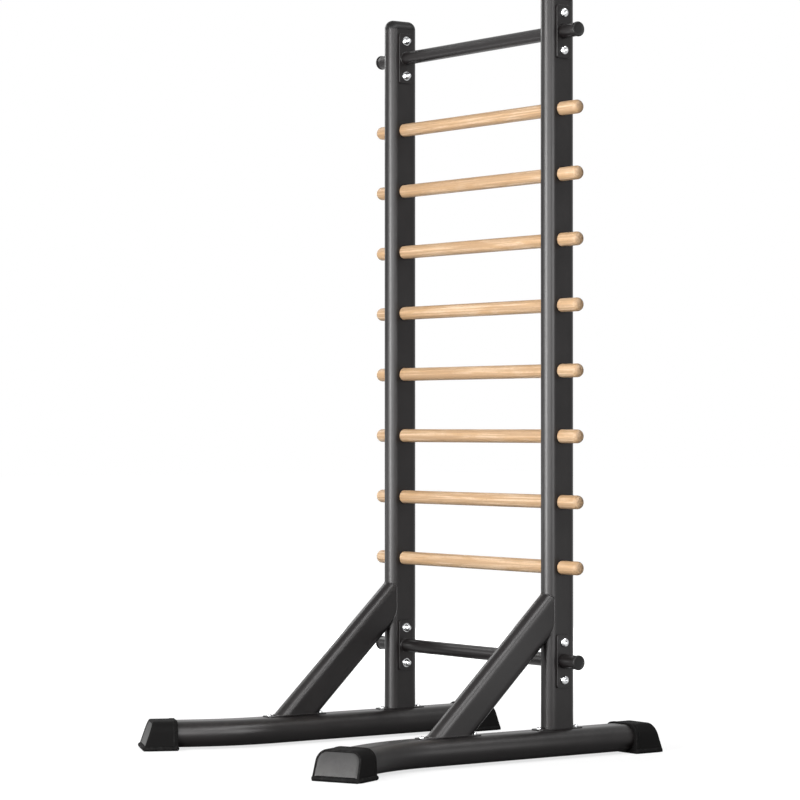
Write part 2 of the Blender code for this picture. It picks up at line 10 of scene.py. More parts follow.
import bmesh
import bpy
import numpy as np
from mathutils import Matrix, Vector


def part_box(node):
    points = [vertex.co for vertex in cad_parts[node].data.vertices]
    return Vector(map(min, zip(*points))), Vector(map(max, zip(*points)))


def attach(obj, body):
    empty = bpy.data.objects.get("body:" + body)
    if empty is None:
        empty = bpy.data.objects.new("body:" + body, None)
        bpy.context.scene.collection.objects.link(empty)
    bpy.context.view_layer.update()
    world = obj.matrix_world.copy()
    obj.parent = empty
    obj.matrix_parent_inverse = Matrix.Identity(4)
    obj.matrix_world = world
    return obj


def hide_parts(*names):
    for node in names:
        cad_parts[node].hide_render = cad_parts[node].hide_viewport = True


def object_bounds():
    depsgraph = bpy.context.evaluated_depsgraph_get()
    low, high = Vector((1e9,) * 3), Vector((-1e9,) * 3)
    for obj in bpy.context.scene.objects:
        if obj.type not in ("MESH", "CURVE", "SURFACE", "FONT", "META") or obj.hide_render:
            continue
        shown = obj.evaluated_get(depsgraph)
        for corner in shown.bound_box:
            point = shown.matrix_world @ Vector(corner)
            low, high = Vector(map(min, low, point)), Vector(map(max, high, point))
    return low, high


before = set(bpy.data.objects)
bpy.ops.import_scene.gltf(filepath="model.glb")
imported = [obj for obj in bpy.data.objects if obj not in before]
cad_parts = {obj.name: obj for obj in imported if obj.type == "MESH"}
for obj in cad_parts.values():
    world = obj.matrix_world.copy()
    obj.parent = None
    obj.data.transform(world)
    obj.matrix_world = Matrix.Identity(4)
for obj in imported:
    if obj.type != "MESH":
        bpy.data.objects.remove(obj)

scene = bpy.context.scene
cad_box = [list(corner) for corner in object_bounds()]
print("CAD box", cad_box)

# %% [markdown]
# ## Where things are
# The places of the real parts can be measured on the CAD nodes, so a size is written here only where
# a box can't tell it, such as an angle or a wall. Pieces that touch keep the small gap named FIT.
# Left is the far side in the picture, right the near one.

# %% Measure the nodes
SIDES = {"left": -1, "right": 1}
TUBE_WALL = 0.0025
FIT = 0.0003


def box_of(node):
    """Lowest and highest corner of a CAD node, as two arrays."""
    low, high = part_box(node)
    return np.array(low), np.array(high)


low, high = box_of("right_upright")
UPRIGHT_X, UPRIGHT_Y = ((low + high) / 2)[:2]
TUBE_THICK, TUBE_DEPTH = (high - low)[:2]
TUBE_BOTTOM, TUBE_TOP = low[2], high[2]
RUNG_BOXES = [box_of(f"rung_{number}") for number in range(1, 9)]
RUNG_HEIGHTS = [(low[2] + high[2]) / 2 for low, high in RUNG_BOXES]
BAR_HEIGHTS = {name: float(np.mean(box_of(f"{name}_crossbar"), axis=0)[2]) for name in ("bottom", "top")}
print("uprights at", UPRIGHT_X, UPRIGHT_Y, "rungs at", np.round(RUNG_HEIGHTS, 4), "bars at", BAR_HEIGHTS)

# %% [markdown]
# ## Camera
# The photographer stood well back with a long lens, in front of the ladder and to its right, a little
# below its middle height. The lens and place were found by matching the ladder's edges, and a plain
# camera without shift or depth of field takes the same view.


# %% Camera
def add_object(name, data):
    """New object for a camera, lamp or mesh, linked to the scene."""
    item = bpy.data.objects.new(name, data)
    scene.collection.objects.link(item)
    return item


camera_data = bpy.data.cameras.new("ladder_camera")
camera_data.sensor_width = 36.0
camera_data.lens = 131.53
camera = add_object("ladder_camera", camera_data)
camera.location = (6.6254, UPRIGHT_Y - 5.0657, 0.9092)
camera.rotation_euler = (math.radians(90.5167), 0.0, math.radians(54.0824))
scene.camera = camera
print("camera", tuple(camera.location))

# %% [markdown]
# ## Nodes by name
# Materials need dozens of shader nodes. One helper puts a node into a tree and either sets a socket
# to a number or links it, which keeps every recipe below readable as a list of ingredients. The others
# are short names for the nodes that come back most.


# %% Node helpers
FLOAT, COLOUR = "NodeSocketFloat", "NodeSocketColor"


def put(tree, kind, settings=None, sockets=None):
    """Add a shader node; a socket value that is itself an output gets linked, anything else is set."""
    node = tree.nodes.new("ShaderNode" + kind)
    for name, value in (settings or {}).items():
        setattr(node, name, value)
    for name, value in (sockets or {}).items():
        if isinstance(value, bpy.types.NodeSocket):
            tree.links.new(value, node.inputs[name])
        else:
            node.inputs[name].default_value = value
    return node


def maths(tree, operation, first, second=0.5, third=0.5, clamp=False):
    """Result of a Math node; MULTIPLY_ADD is first * second + third."""
    settings = {"operation": operation, "use_clamp": clamp}
    return put(tree, "Math", settings, {0: first, 1: second, 2: third}).outputs[0]


def mix_colours(tree, factor, first, second):
    """Colour between two others; one that is written as three numbers is made opaque."""
    first, second = [(*item, 1.0) if isinstance(item, tuple) else item for item in (first, second)]
    return put(tree, "Mix", {"data_type": "RGBA"}, {0: factor, 6: first, 7: second}).outputs[2]


def fade(tree, value, start, end, low=0.0, high=1.0):
    """Value carried smoothly from low at start to high at end."""
    settings = {"interpolation_type": "SMOOTHSTEP"}
    sockets = {"Value": value, "From Min": start, "From Max": end, "To Min": low, "To Max": high}
    return put(tree, "MapRange", settings, sockets).outputs["Result"]


def noise(tree, place, scale, detail, roughness=0.5, distortion=0.0, output=0):
    """Noise texture read at a place; its first output is a value, the one named Color a vector."""
    sockets = {"Vector": place, "Scale": scale, "Detail": detail}
    sockets.update({"Roughness": roughness, "Distortion": distortion})
    return put(tree, "TexNoise", None, sockets).outputs[output]


def own_place(tree):
    """Object coordinates, which stay with a piece however it is looked at."""
    return put(tree, "TexCoord").outputs["Object"]


def stored(tree, name, output="Fac"):
    """What a piece stores on its points under a name."""
    return put(tree, "Attribute", {"attribute_name": name}).outputs[output]


def emboss(tree, shader, height, strength, distance=0.0004):
    """Let a height change the shading of a surface through a Bump node."""
    bump = put(tree, "Bump", None, {"Strength": strength, "Distance": distance, "Height": height})
    tree.links.new(bump.outputs[0], shader["Normal"])


def new_group(name, inputs, outputs):
    """Empty shader node group with its named sockets, and its two end nodes."""
    tree = bpy.data.node_groups.new(name, "ShaderNodeTree")
    for label, kind, value in inputs:
        tree.interface.new_socket(label, in_out="INPUT", socket_type=kind).default_value = value
    for label, kind in outputs:
        tree.interface.new_socket(label, in_out="OUTPUT", socket_type=kind)
    return tree, tree.nodes.new("NodeGroupInput").outputs, tree.nodes.new("NodeGroupOutput").inputs


def place_group(tree, name, **values):
    """Outputs of a group placed in a material; patch_size=7.0 sets its input named Patch size."""
    sockets = {label.replace("_", " ").capitalize(): value for label, value in values.items()}
    return put(tree, "Group", {"node_tree": bpy.data.node_groups[name]}, sockets).outputs


def new_material(name):
    """Material, its tree and its shader's inputs."""
    material = bpy.data.materials.new(name)
    material.use_nodes = True
    return material, material.node_tree, material.node_tree.nodes["Principled BSDF"].inputs


# %% [markdown]
# ## Studio
# The picture is a cut-out on white. A white world is shown to the camera and to reflections, while
# only a little of it reaches matt surfaces. The floor is a matt grey sheet that glows for the camera
# and for reflections, so it meets the world without a horizon and still keeps a soft shadow. An
# Ambient Occlusion node dims the glow where the ladder stands close. The camera sees little of that,
# but glossy black feet mirror a dark contact shadow, as they would on a real floor.


# %% White world and floor
def seen_directly(tree):
    """1 for camera, mirror and glass rays, and 0 for light on its way to a matt surface."""
    rays = put(tree, "LightPath").outputs
    seen = maths(tree, "MAXIMUM", rays["Is Camera Ray"], rays["Is Glossy Ray"])
    return maths(tree, "MAXIMUM", seen, rays["Is Transmission Ray"])


WHITE = (1.0, 1.0, 1.0, 1.0)
MATT_LIGHT = 0.05
world = bpy.data.worlds.new("white_studio")
scene.world = world
world.use_nodes = True
tree = world.node_tree
strength = maths(tree, "MULTIPLY_ADD", seen_directly(tree), 1.0 - MATT_LIGHT, MATT_LIGHT)
background = tree.nodes["Background"].inputs
background["Color"].default_value = WHITE
tree.links.new(strength, background["Strength"])

FLOOR_REACH, CONTACT_REACH, CAMERA_LIFT = 40.0, 0.32, 0.8
corners = FLOOR_REACH * np.array([(-1, -1, 0), (1, -1, 0), (1, 1, 0), (-1, 1, 0)])
mesh = bpy.data.meshes.new("studio_floor")
mesh.from_pydata(corners.tolist(), [], [(0, 1, 2, 3)])
floor = add_object("studio_floor", mesh)
pale, tree, _ = new_material("pale_studio_floor")
tree.nodes.remove(tree.nodes["Principled BSDF"])
matt = put(tree, "BsdfDiffuse", None, {"Color": (0.16, 0.16, 0.16, 1.0)})
glow = put(tree, "Emission", None, {"Color": WHITE})
away = put(tree, "VectorMath", {"operation": "LENGTH"}, {0: own_place(tree)}).outputs["Value"]
fill = fade(tree, away, 0.8, 2.6, 0.90, 1.0)
open_sky = put(tree, "AmbientOcclusion", {"samples": 4}, {"Distance": CONTACT_REACH}).outputs["AO"]
contact = maths(tree, "MULTIPLY", open_sky, open_sky)
for_camera = put(tree, "LightPath").outputs["Is Camera Ray"]
lifted = maths(tree, "MULTIPLY_ADD", for_camera, CAMERA_LIFT, contact, clamp=True)
shown = maths(tree, "MULTIPLY", seen_directly(tree), maths(tree, "MULTIPLY", fill, lifted))
tree.links.new(shown, glow.inputs["Strength"])
both = put(tree, "AddShader", None, {0: matt.outputs[0], 1: glow.outputs[0]})
tree.links.new(both.outputs[0], tree.nodes["Material Output"].inputs["Surface"])
mesh.materials.append(pale)
scene.view_settings.view_transform = "Standard"
print("world and floor ready")

# %% [markdown]
# ## Lamps
# Soft boxes stand round the ladder. On black gloss the reflections of the lamps are nearly all that
# is seen, while the pale wood shows mostly the light that falls on it. So there are two sets: three
# boxes that light matt colour only, and ten that are seen in reflections only, one for each highlight
# on the rounds and flats of the tubes. Either can be changed without touching the other.


# %% Soft boxes
def soft_box(name, azimuth, distance, height, width, tall, power, aim, sheen):
    """Rectangular lamp standing at an azimuth from the ladder's front towards its right, facing it.

    A sheen lamp is seen in reflections only, and any other lamp lights matt colour only.
    """
    lamp = bpy.data.lights.new(name, "AREA")
    lamp.shape = "RECTANGLE"
    lamp.size, lamp.size_y, lamp.energy = width, tall, power
    box = add_object(name, lamp)
    turn = math.radians(azimuth)
    box.location = (distance * math.sin(turn), -distance * math.cos(turn), height)
    box.rotation_euler = (math.atan2(distance, height - aim), 0.0, turn)
    box.visible_camera = False
    box.visible_diffuse = not sheen
    box.visible_glossy = sheen


# Each row is azimuth in degrees, distance, height, width, tall, power in watts, height aimed at.
MATT_BOXES = {
    "front_box": (15.0, 5.0, 2.20, 2.2, 1.4, 376.0, 1.05),
    "side_box": (70.0, 5.0, 1.40, 3.0, 1.4, 85.0, 1.05),
    "back_box": (-126.0, 5.0, 1.40, 3.0, 1.4, 420.0, 1.05),
}
SHEEN_BOXES = {
    "front_sheen": (10.0, 3.3, 1.25, 1.4, 2.6, 380.0, 1.05),
    "corner_sheen": (37.0, 4.0, 1.25, 1.6, 2.6, 118.0, 1.05),
    "side_sheen": (58.0, 5.0, 1.50, 2.0, 2.1, 165.0, 1.05),
    "right_sheen": (95.0, 5.0, 1.50, 2.0, 2.1, 185.0, 1.05),
    "right_high_sheen": (80.0, 4.6, 4.8, 2.6, 2.0, 246.0, 0.3),
    "right_mid_sheen": (121.0, 4.0, 5.6, 2.8, 1.4, 240.0, 0.1),
    "right_low_sheen": (109.5, 1.41, 0.32, 0.7, 0.45, 2.3, 0.35),
    "left_front_sheen": (-20.0, 4.5, 1.20, 1.6, 2.0, 72.0, 1.05),
    "left_low_sheen": (-58.0, 2.6, 0.62, 1.0, 0.5, 7.0, 0.3),
    "left_sheen": (-90.0, 3.4, 2.9, 1.4, 1.2, 34.0, 0.4),
}
for boxes in (MATT_BOXES, SHEEN_BOXES):
    for name, values in boxes.items():
        soft_box(name, *values, sheen=boxes is SHEEN_BOXES)
print("lamps", [item.name for item in bpy.data.lights])

# %% [markdown]
# ## Shared effects
# Three effects come back in several finishes: the fine ripple of a sprayed or moulded surface, edges
# rubbed by handling, and the dust that settles low down. Each is a node group made once. The rubbed
# edges read a mask named "edge", which every piece stores where its surface turns a corner, so the wear
# sits on real edges from any side.
# The dust group also gives painted light: a lightening that grows towards the floor.

# %% Ripple of sprayed and moulded skins
group, given, result = new_group(
    "skin_ripple",
    [("Pitch", FLOAT, 700.0), ("Patch size", FLOAT, 9.0)],
    [("Height", FLOAT), ("Mottle", FLOAT)],
)
place = own_place(group)
fine = noise(group, place, given["Pitch"], 2.0)
coarse = noise(group, place, maths(group, "MULTIPLY", given["Pitch"], 0.32), 1.0)
wide = noise(group, place, given["Patch size"], 5.0, 0.6)
group.links.new(maths(group, "MULTIPLY_ADD", fine, 0.4, coarse), result["Height"])
group.links.new(fade(group, wide, 0.3, 0.7), result["Mottle"])
print("group", group.name)

# %% Rubbed edges
group, given, result = new_group(
    "rubbed_edges",
    [("Amount", FLOAT, 0.5), ("Breakup", FLOAT, 60.0)],
    [("Mask", FLOAT)],
)
patches = noise(group, own_place(group), given["Breakup"], 6.0, 0.7)
edges = fade(group, stored(group, "edge"), 0.35, 1.0)
worn = maths(group, "MULTIPLY", edges, fade(group, patches, 0.42, 0.68))
group.links.new(maths(group, "MULTIPLY", worn, given["Amount"], clamp=True), result["Mask"])
print("group", group.name)

# %% Settled dust and painted low light
group, given, result = new_group(
    "settled_dust_and_painted_light",
    [("Amount", FLOAT, 0.3), ("Reach", FLOAT, 0.25)],
    [("Mask", FLOAT), ("Painted low light", FLOAT)],
)
facing = put(group, "SeparateXYZ", None, {0: put(group, "NewGeometry").outputs["Normal"]}).outputs["Z"]
place = own_place(group)
height = put(group, "SeparateXYZ", None, {0: place}).outputs["Z"]
grains = noise(group, place, 45.0, 8.0, 0.75)
lying = maths(group, "MULTIPLY", fade(group, facing, 0.2, 1.0), fade(group, grains, 0.35, 0.75))
low_down = maths(group, "SUBTRACT", 1.0, maths(group, "DIVIDE", height, given["Reach"]), clamp=True)
settled = maths(group, "MULTIPLY", lying, maths(group, "MULTIPLY_ADD", low_down, 0.8, 0.2))
# Second output: painted light, lighter towards the floor and broken up by the grains.
cloudy = fade(group, grains, 0.2, 0.6, 0.7, 1.0)
group.links.new(maths(group, "MULTIPLY", settled, given["Amount"]), result["Mask"])
group.links.new(maths(group, "MULTIPLY", low_down, cloudy), result["Painted low light"])
print("group", group.name)

# %% [markdown]
# ## Black powder coat
# The steel is sprayed with black powder and baked. It keeps a faint orange-peel ripple, a satin gloss
# that changes a little from patch to patch, and slightly lighter rubbed corners. Its sheen on the round
# of the tubes comes from the lamps, so the colour itself stays close to black.

# %% Powder coat
POWDER, tree, shader = new_material("black_powder_coat_satin")
ripple = place_group(tree, "skin_ripple", pitch=520.0, patch_size=7.0)
wear = place_group(tree, "rubbed_edges", amount=0.2, breakup=70.0)["Mask"]
dust = place_group(tree, "settled_dust_and_painted_light", amount=0.10, reach=0.3)["Mask"]
black = mix_colours(tree, ripple["Mottle"], (0.0052, 0.0039, 0.0040), (0.0076, 0.0060, 0.0061))
rubbed = mix_colours(tree, wear, black, (0.045, 0.044, 0.043))
tree.links.new(mix_colours(tree, dust, rubbed, (0.16, 0.15, 0.14)), shader["Base Color"])
gloss = maths(tree, "MULTIPLY_ADD", ripple["Mottle"], 0.05, 0.33)
tree.links.new(maths(tree, "MULTIPLY_ADD", dust, 0.4, gloss), shader["Roughness"])
shader["Specular IOR Level"].default_value = 0.24
emboss(tree, shader, ripple["Height"], 0.20)
print("made", POWDER.name)

# %% [markdown]
# ## Satin black plastic
# The top caps and the plugs of the crossbars are moulded. A steel mould leaves a fine leather-like
# grain and a satin sheen. It is the ripple of the powder coat again with a finer pitch, and its edges
# are rubbed less, because few hands reach them.

# %% Black plastic
PLASTIC, tree, shader = new_material("black_moulded_plastic")
ripple = place_group(tree, "skin_ripple", pitch=900.0, patch_size=16.0)
wear = place_group(tree, "rubbed_edges", amount=0.12, breakup=90.0)["Mask"]
black = mix_colours(tree, ripple["Mottle"], (0.0045, 0.0044, 0.0044), (0.0070, 0.0068, 0.0067))
tree.links.new(mix_colours(tree, wear, black, (0.060, 0.058, 0.056)), shader["Base Color"])
tree.links.new(maths(tree, "MULTIPLY_ADD", ripple["Mottle"], 0.07, 0.43), shader["Roughness"])
shader["Specular IOR Level"].default_value = 0.15
emboss(tree, shader, ripple["Height"], 0.18)
print("made", PLASTIC.name)

# %% [markdown]
# ## Dull foot plastic
# The foot caps are of a duller, blacker plastic that barely shines. Only the sunk panel at the end of
# a cap is smoother, and it is painted lighter towards the floor, painted light on its lower part. The panel
# is marked by a mask named "face" that the cap stores, so one material serves the whole cap.

# %% Foot plastic
FOOT_PLASTIC, tree, shader = new_material("black_foot_plastic")
ripple = place_group(tree, "skin_ripple", pitch=900.0, patch_size=16.0)
# On the rolled lip of the caps these rubbed edges are also a painted highlight.
wear = place_group(tree, "rubbed_edges", amount=0.10, breakup=90.0)["Mask"]
# Painted light: the sunk panel is painted lighter towards the floor.
painted_low_light = place_group(tree, "settled_dust_and_painted_light", reach=0.09)["Painted low light"]
panel = stored(tree, "face")
black = mix_colours(tree, ripple["Mottle"], (0.0024, 0.0022, 0.0022), (0.0038, 0.0035, 0.0035))
grey = mix_colours(tree, ripple["Mottle"], (0.0050, 0.0049, 0.0049), (0.0075, 0.0074, 0.0074))
panel_painted_lighter = mix_colours(tree, painted_low_light, grey, (0.072, 0.070, 0.069))
moulded = mix_colours(tree, panel, black, panel_painted_lighter)
tree.links.new(mix_colours(tree, wear, moulded, (0.10, 0.098, 0.096)), shader["Base Color"])
dull = maths(tree, "MULTIPLY_ADD", ripple["Mottle"], 0.08, 0.74)
tree.links.new(maths(tree, "MULTIPLY_ADD", panel, -0.36, dull), shader["Roughness"])
shader["Specular IOR Level"].default_value = 0.05
emboss(tree, shader, ripple["Height"], 0.18)
print("made", FOOT_PLASTIC.name)

# %% [markdown]
# ## Pale beech
# The rungs are turned dowels of pale hardwood with a satin lacquer. A dowel is cut from a trunk, so its
# colour follows growth rings round a far-off pith. A broad cloudy figure and long brown streaks lie
# over the rings, short dark flecks run along the grain, and the sawn ends are darker. An image could
# give all this, but it would repeat. Here each dowel stores its own place inside the trunk as an
# attribute named "trunk", and the patterns are squeezed along the grain by different amounts.

# %% Beech grain
group, _, result = new_group(
    "beech_grain", [], [("Colour", COLOUR), ("Roughness", FLOAT), ("Height", FLOAT)]
)
trunk = stored(group, "trunk", "Vector")


def along_grain(squeeze):
    """Place in the trunk, squeezed along the grain so that a pattern read there is drawn out."""
    return put(group, "Mapping", None, {"Vector": trunk, "Scale": (squeeze, 1.0, 1.0)}).outputs[0]


def vector_maths(operation, *vectors):
    """Outputs of a Vector Math node in this group."""
    return put(group, "VectorMath", {"operation": operation}, dict(enumerate(vectors))).outputs


sway = noise(group, along_grain(0.035), 60.0, 3.0, output="Color")
swayed = vector_maths("MULTIPLY_ADD", sway, (0.0, 0.006, 0.006), trunk)[0]
radial = vector_maths("MULTIPLY", swayed, (0.0, 1.0, 1.0))[0]
ring = maths(group, "FRACT", maths(group, "MULTIPLY", vector_maths("LENGTH", radial)["Value"], 260.0))
late_wood = maths(group, "MULTIPLY", fade(group, ring, 0.25, 0.92), fade(group, ring, 1.0, 0.93))
fibres = noise(group, along_grain(0.02), 1500.0, 3.0, 0.6)
flecks = fade(group, noise(group, along_grain(0.10), 900.0, 1.0), 0.60, 0.70)
figure = fade(group, noise(group, along_grain(0.16), 42.0, 3.0, distortion=0.7), 0.34, 0.66)
streaks = fade(group, noise(group, along_grain(0.016), 180.0, 3.0), 0.41, 0.59)
layers = [
    (streaks, 0.9, (0.46, 0.29, 0.16)),
    (late_wood, 0.55, (0.50, 0.315, 0.165)),
    (fade(group, fibres, 0.35, 0.75), 0.35, (0.47, 0.29, 0.15)),
    (flecks, 0.4, (0.33, 0.185, 0.09)),
    (stored(group, "face"), 0.55, (0.43, 0.27, 0.14)),
]
tone = mix_colours(group, figure, (0.77, 0.57, 0.385), (0.60, 0.38, 0.20))
for mask, amount, colour in layers:
    tone = mix_colours(group, maths(group, "MULTIPLY", mask, amount), tone, colour)
group.links.new(tone, result["Colour"])
group.links.new(maths(group, "MULTIPLY_ADD", fibres, 0.16, 0.44), result["Roughness"])
group.links.new(maths(group, "MULTIPLY_ADD", flecks, -0.6, fibres), result["Height"])
print("group", group.name)

# %% Beech
BEECH, tree, shader = new_material("pale_beech_lacquered")
wood = place_group(tree, "beech_grain")
tree.links.new(wood["Colour"], shader["Base Color"])
tree.links.new(wood["Roughness"], shader["Roughness"])
shader["Specular IOR Level"].default_value = 0.28
emboss(tree, shader, wood["Height"], 0.12)
print("made", BEECH.name)

# %% [markdown]
# ## Bright zinc
# Bolts and nuts are plated and polished. Plating is nearly a mirror; a fine ripple and a breath of
# haze keep it from looking like liquid metal, and rubbed corners are a shade darker.

# %% Zinc
ZINC, tree, shader = new_material("bright_zinc_plating")
ripple = place_group(tree, "skin_ripple", pitch=1800.0, patch_size=55.0)
wear = place_group(tree, "rubbed_edges", amount=0.5, breakup=260.0)["Mask"]
bright = mix_colours(tree, ripple["Mottle"], (0.52, 0.525, 0.53), (0.44, 0.445, 0.455))
tree.links.new(mix_colours(tree, wear, bright, (0.30, 0.295, 0.285)), shader["Base Color"])
tree.links.new(maths(tree, "MULTIPLY_ADD", ripple["Mottle"], 0.07, 0.17), shader["Roughness"])
shader["Metallic"].default_value = 1.0
emboss(tree, shader, ripple["Height"], 0.05, 0.0002)
print("made", ZINC.name)

# %% [markdown]
# ## From arrays to meshes
# Every surface here is a grid: rows of points, with the columns running round an outline. Several
# grids that share their border points make one piece. They are put into one mesh, the shared points
# are merged, and the faces of each closed skin are turned outwards. Modelling by hand in edit mode
# would work too, but a formula keeps hundreds of drilled edges exact.


# %% Grid helpers
def points_of(*coordinates):
    """Points put together from their coordinates, each an array or one number for all points."""
    return np.stack(np.broadcast_arrays(*coordinates), axis=-1)


def raised(flat, height):
    """Flat points (u, v) lifted to a height, which may differ from row to row."""
    return points_of(flat[..., 0], flat[..., 1], height)


def unit(vectors):
    """Vectors divided by their lengths."""
    return vectors / np.linalg.norm(vectors, axis=-1, keepdims=True)


def grid(points, edge=0.0, face=0.0, ring=True, loop=False):
    """Points, quads and two masks; ring joins the last column to the first, loop the last row.

    A mask is one number, one number for each row, or one for each point.
    """
    rows, columns = points.shape[:2]
    row = np.arange(rows if loop else rows - 1)[:, None]
    column = np.arange(columns if ring else columns - 1)[None, :]
    after, beside = (row + 1) % rows * columns, (column + 1) % columns
    here = row * columns
    quads = np.stack([here + column, here + beside, after + beside, after + column], axis=-1)
    by_row = [mask[:, None] if np.ndim(mask) == 1 else mask for mask in (edge, face)]
    masks = [np.broadcast_to(mask, (rows, columns)).ravel() for mask in by_row]
    return points.reshape(-1, 3), quads.reshape(-1, 4), *masks


def moved(grids, turn=np.eye(3), shift=(0.0, 0.0, 0.0)):
    """The same grids with every point turned by a matrix and then shifted."""
    return [(points @ np.asarray(turn).T + np.asarray(shift), *rest) for points, *rest in grids]


def along_x(sign=1):
    """Matrix that lays what stands along Z along X, towards the right for 1 and the left for -1."""
    return np.array([[0, 0, sign], [1, 0, 0], [0, 1, 0]], float)


# %% Mesh helper
CREASE = math.radians(38.0)
MERGE = 2e-6


def make_piece(name, grids, finish, *nodes):
    """One mesh object from grids: merged, turned outwards, smooth except where it bends sharply."""
    starts = np.cumsum([0] + [len(item[0]) for item in grids])[:-1]
    points = np.concatenate([item[0] for item in grids])
    quads = np.concatenate([item[1] + start for item, start in zip(grids, starts)])
    mesh = bpy.data.meshes.new(name)
    mesh.vertices.add(len(points))
    mesh.vertices.foreach_set("co", points.astype(np.float32).ravel())
    mesh.loops.add(quads.size)
    mesh.loops.foreach_set("vertex_index", quads.astype(np.int32).ravel())
    mesh.polygons.add(len(quads))
    mesh.polygons.foreach_set("loop_start", np.arange(0, quads.size, 4, dtype=np.int32))
    mesh.update(calc_edges=True)
    for label, index in (("edge", 2), ("face", 3)):
        values = np.concatenate([item[index] for item in grids]).astype(np.float32)
        mesh.attributes.new(label, "FLOAT", "POINT").data.foreach_set("value", values)
    bm = bmesh.new()
    bm.from_mesh(mesh)
    bmesh.ops.remove_doubles(bm, verts=bm.verts, dist=MERGE)
    bmesh.ops.recalc_face_normals(bm, faces=bm.faces)
    bm.to_mesh(mesh)
    bm.free()
    mesh.shade_smooth()
    mesh.set_sharp_from_angle(angle=CREASE)
    mesh.materials.append(finish)
    piece = add_object(name, mesh)
    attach(piece, "root")
    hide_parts(*nodes)
    used = np.empty(len(mesh.loops), np.int32)
    mesh.loops.foreach_get("edge_index", used)
    open_edges = np.sum(np.bincount(used, minlength=len(mesh.edges)) != 2)
    mesh.calc_loop_triangles()
    print(f"{name}: {len(mesh.loop_triangles)} triangles, {open_edges} open edges")
    return piece


# %% Outlines
FLAT_STEPS, ROUND_STEPS = 12, 20


def oval(thick, deep):
    """Flat oval (u, v): two straight sides at u = +-thick/2, joined by half circles towards +v and -v."""
    radius, straight = thick / 2, (deep - thick) / 2
    along = np.linspace(-1, 1, FLAT_STEPS, endpoint=False) * straight
    turn = np.linspace(0, np.pi, ROUND_STEPS, endpoint=False)
    side = np.full(FLAT_STEPS, radius)
    u = np.concatenate([side, radius * np.cos(turn), -side, -radius * np.cos(turn)])
    v = np.concatenate([along, straight + radius * np.sin(turn), -along, -straight - radius * np.sin(turn)])
    return points_of(u, v)


def circle(count=48):
    """Points (cos a, sin a) of a unit circle at evenly spaced angles."""
    turn = np.linspace(0, 2 * np.pi, count, endpoint=False)
    return points_of(np.cos(turn), np.sin(turn))


def quarter(radius, steps, start=0.0):
    """Offsets (r cos a, r sin a) over a quarter turn from a start angle."""
    turn = start + np.linspace(0, np.pi / 2, steps + 1)
    return radius * points_of(np.cos(turn), np.sin(turn))


def turned(profile, edge=0.0, face=0.0, loop=False):
    """Surface of revolution round z: each (radius, height) of the profile sweeps a full circle."""
    return grid(raised(circle() * profile[:, None, :1], profile[:, 1:]), edge, face, loop=loop)


# %% [markdown]
# ## Drilled walls
# A round hole in a flat wall is the awkward part of sheet metal in mesh form. A Boolean modifier would
# cut it, but leaves long thin faces that shade badly. Here each hole gets its own square cell. Rays run
# from the hole's edge to the cell's border, and every row of the grid blends the circle into the
# square. The rows also dive through the hole, so its edge is a real rolled edge.


# %% Hole cells
def square_border(steps):
    """Points evenly spaced round a square from -1 to 1, as four sides one after the other."""
    t = np.linspace(-1, 1, steps, endpoint=False)
    one = np.ones(steps)
    return points_of(np.concatenate([t, one, -t, -one]), np.concatenate([-one, t, one, -t]))


def hole_cell(centre, radius, low, high, steps, roll, wall, rays=(0.25, 0.55, 0.8, 1.0)):
    """Rows (u, v, depth) from the back border in to the hole, through the wall, and out to the front.

    A point is (1 - w) * circle + w * border. At the front, the circle opens by a quarter round.
    """
    low, high, centre = np.asarray(low, float), np.asarray(high, float), np.asarray(centre, float)
    border = (low + high) / 2 + square_border(steps) * (high - low) / 2
    bend = quarter(roll, 5)
    back, front = np.zeros(len(rays) + 1), np.zeros(len(rays))
    w = np.concatenate([rays[::-1], np.zeros(len(bend) + 1), rays])[:, None, None]
    bore = np.concatenate([back, roll - bend[:, 0], front + roll]) + radius
    depth = np.concatenate([back - wall, bend[:, 1] - roll, front])
    edge = np.concatenate([back, np.ones(len(bend)), front])
    round_hole = centre + unit(border - centre) * bore[:, None, None]
    return raised((1 - w) * round_hole + w * border, depth[:, None]), edge


# %% [markdown]
# ## Uprights
# Two flat-oval steel tubes carry everything. A tube is a skin swept along Z: half rounds in front and
# behind, and two flat walls that are drilled for eight rungs, two crossbars and four bolts. The rounds
# use the same heights as the hole cells, so that all borders meet point to point.

# %% Heights along an upright
BAR_HOLE, BOLT_HOLE, HOLE_ROLL = 0.0193, 0.0063, 0.0019
BOLT_RISE = 0.0515
HALF = (TUBE_DEPTH - TUBE_THICK) / 2
holes = [(height, BAR_HOLE) for height in RUNG_HEIGHTS + list(BAR_HEIGHTS.values())]
holes += [(height + sign * BOLT_RISE, BOLT_HOLE) for height in BAR_HEIGHTS.values() for sign in (-1, 1)]
holes = sorted(holes)
bounds = [TUBE_BOTTOM] + [height + sign * HALF for height, _ in holes for sign in (-1, 1)] + [TUBE_TOP]
plain = [np.linspace(low, high, 5) for low, high in zip(bounds[0::2], bounds[1::2])]
drilled = [height + HALF * np.linspace(-1, 1, FLAT_STEPS + 1) for height, _ in holes]
stations = np.unique(np.round(np.concatenate(plain + drilled), 7))
print(len(holes), "holes in", len(stations), "rows of points")


# %% Upright tubes
def tube_columns(first, count):
    """Numbers of neighbouring outline points, running past the outline's end back to its start."""
    return (first + np.arange(count + 1)) % (2 * (FLAT_STEPS + ROUND_STEPS))


def standing(outline, heights):
    """Outline (u, v) repeated at every height, as points (u, v, z)."""
    return raised(outline[None], np.asarray(heights)[:, None])


def upright_axis(sign, out=0.0, height=0.0):
    """Point at a height beside an upright's middle line, moved outwards along X."""
    return np.array([sign * (UPRIGHT_X + out), UPRIGHT_Y, height])


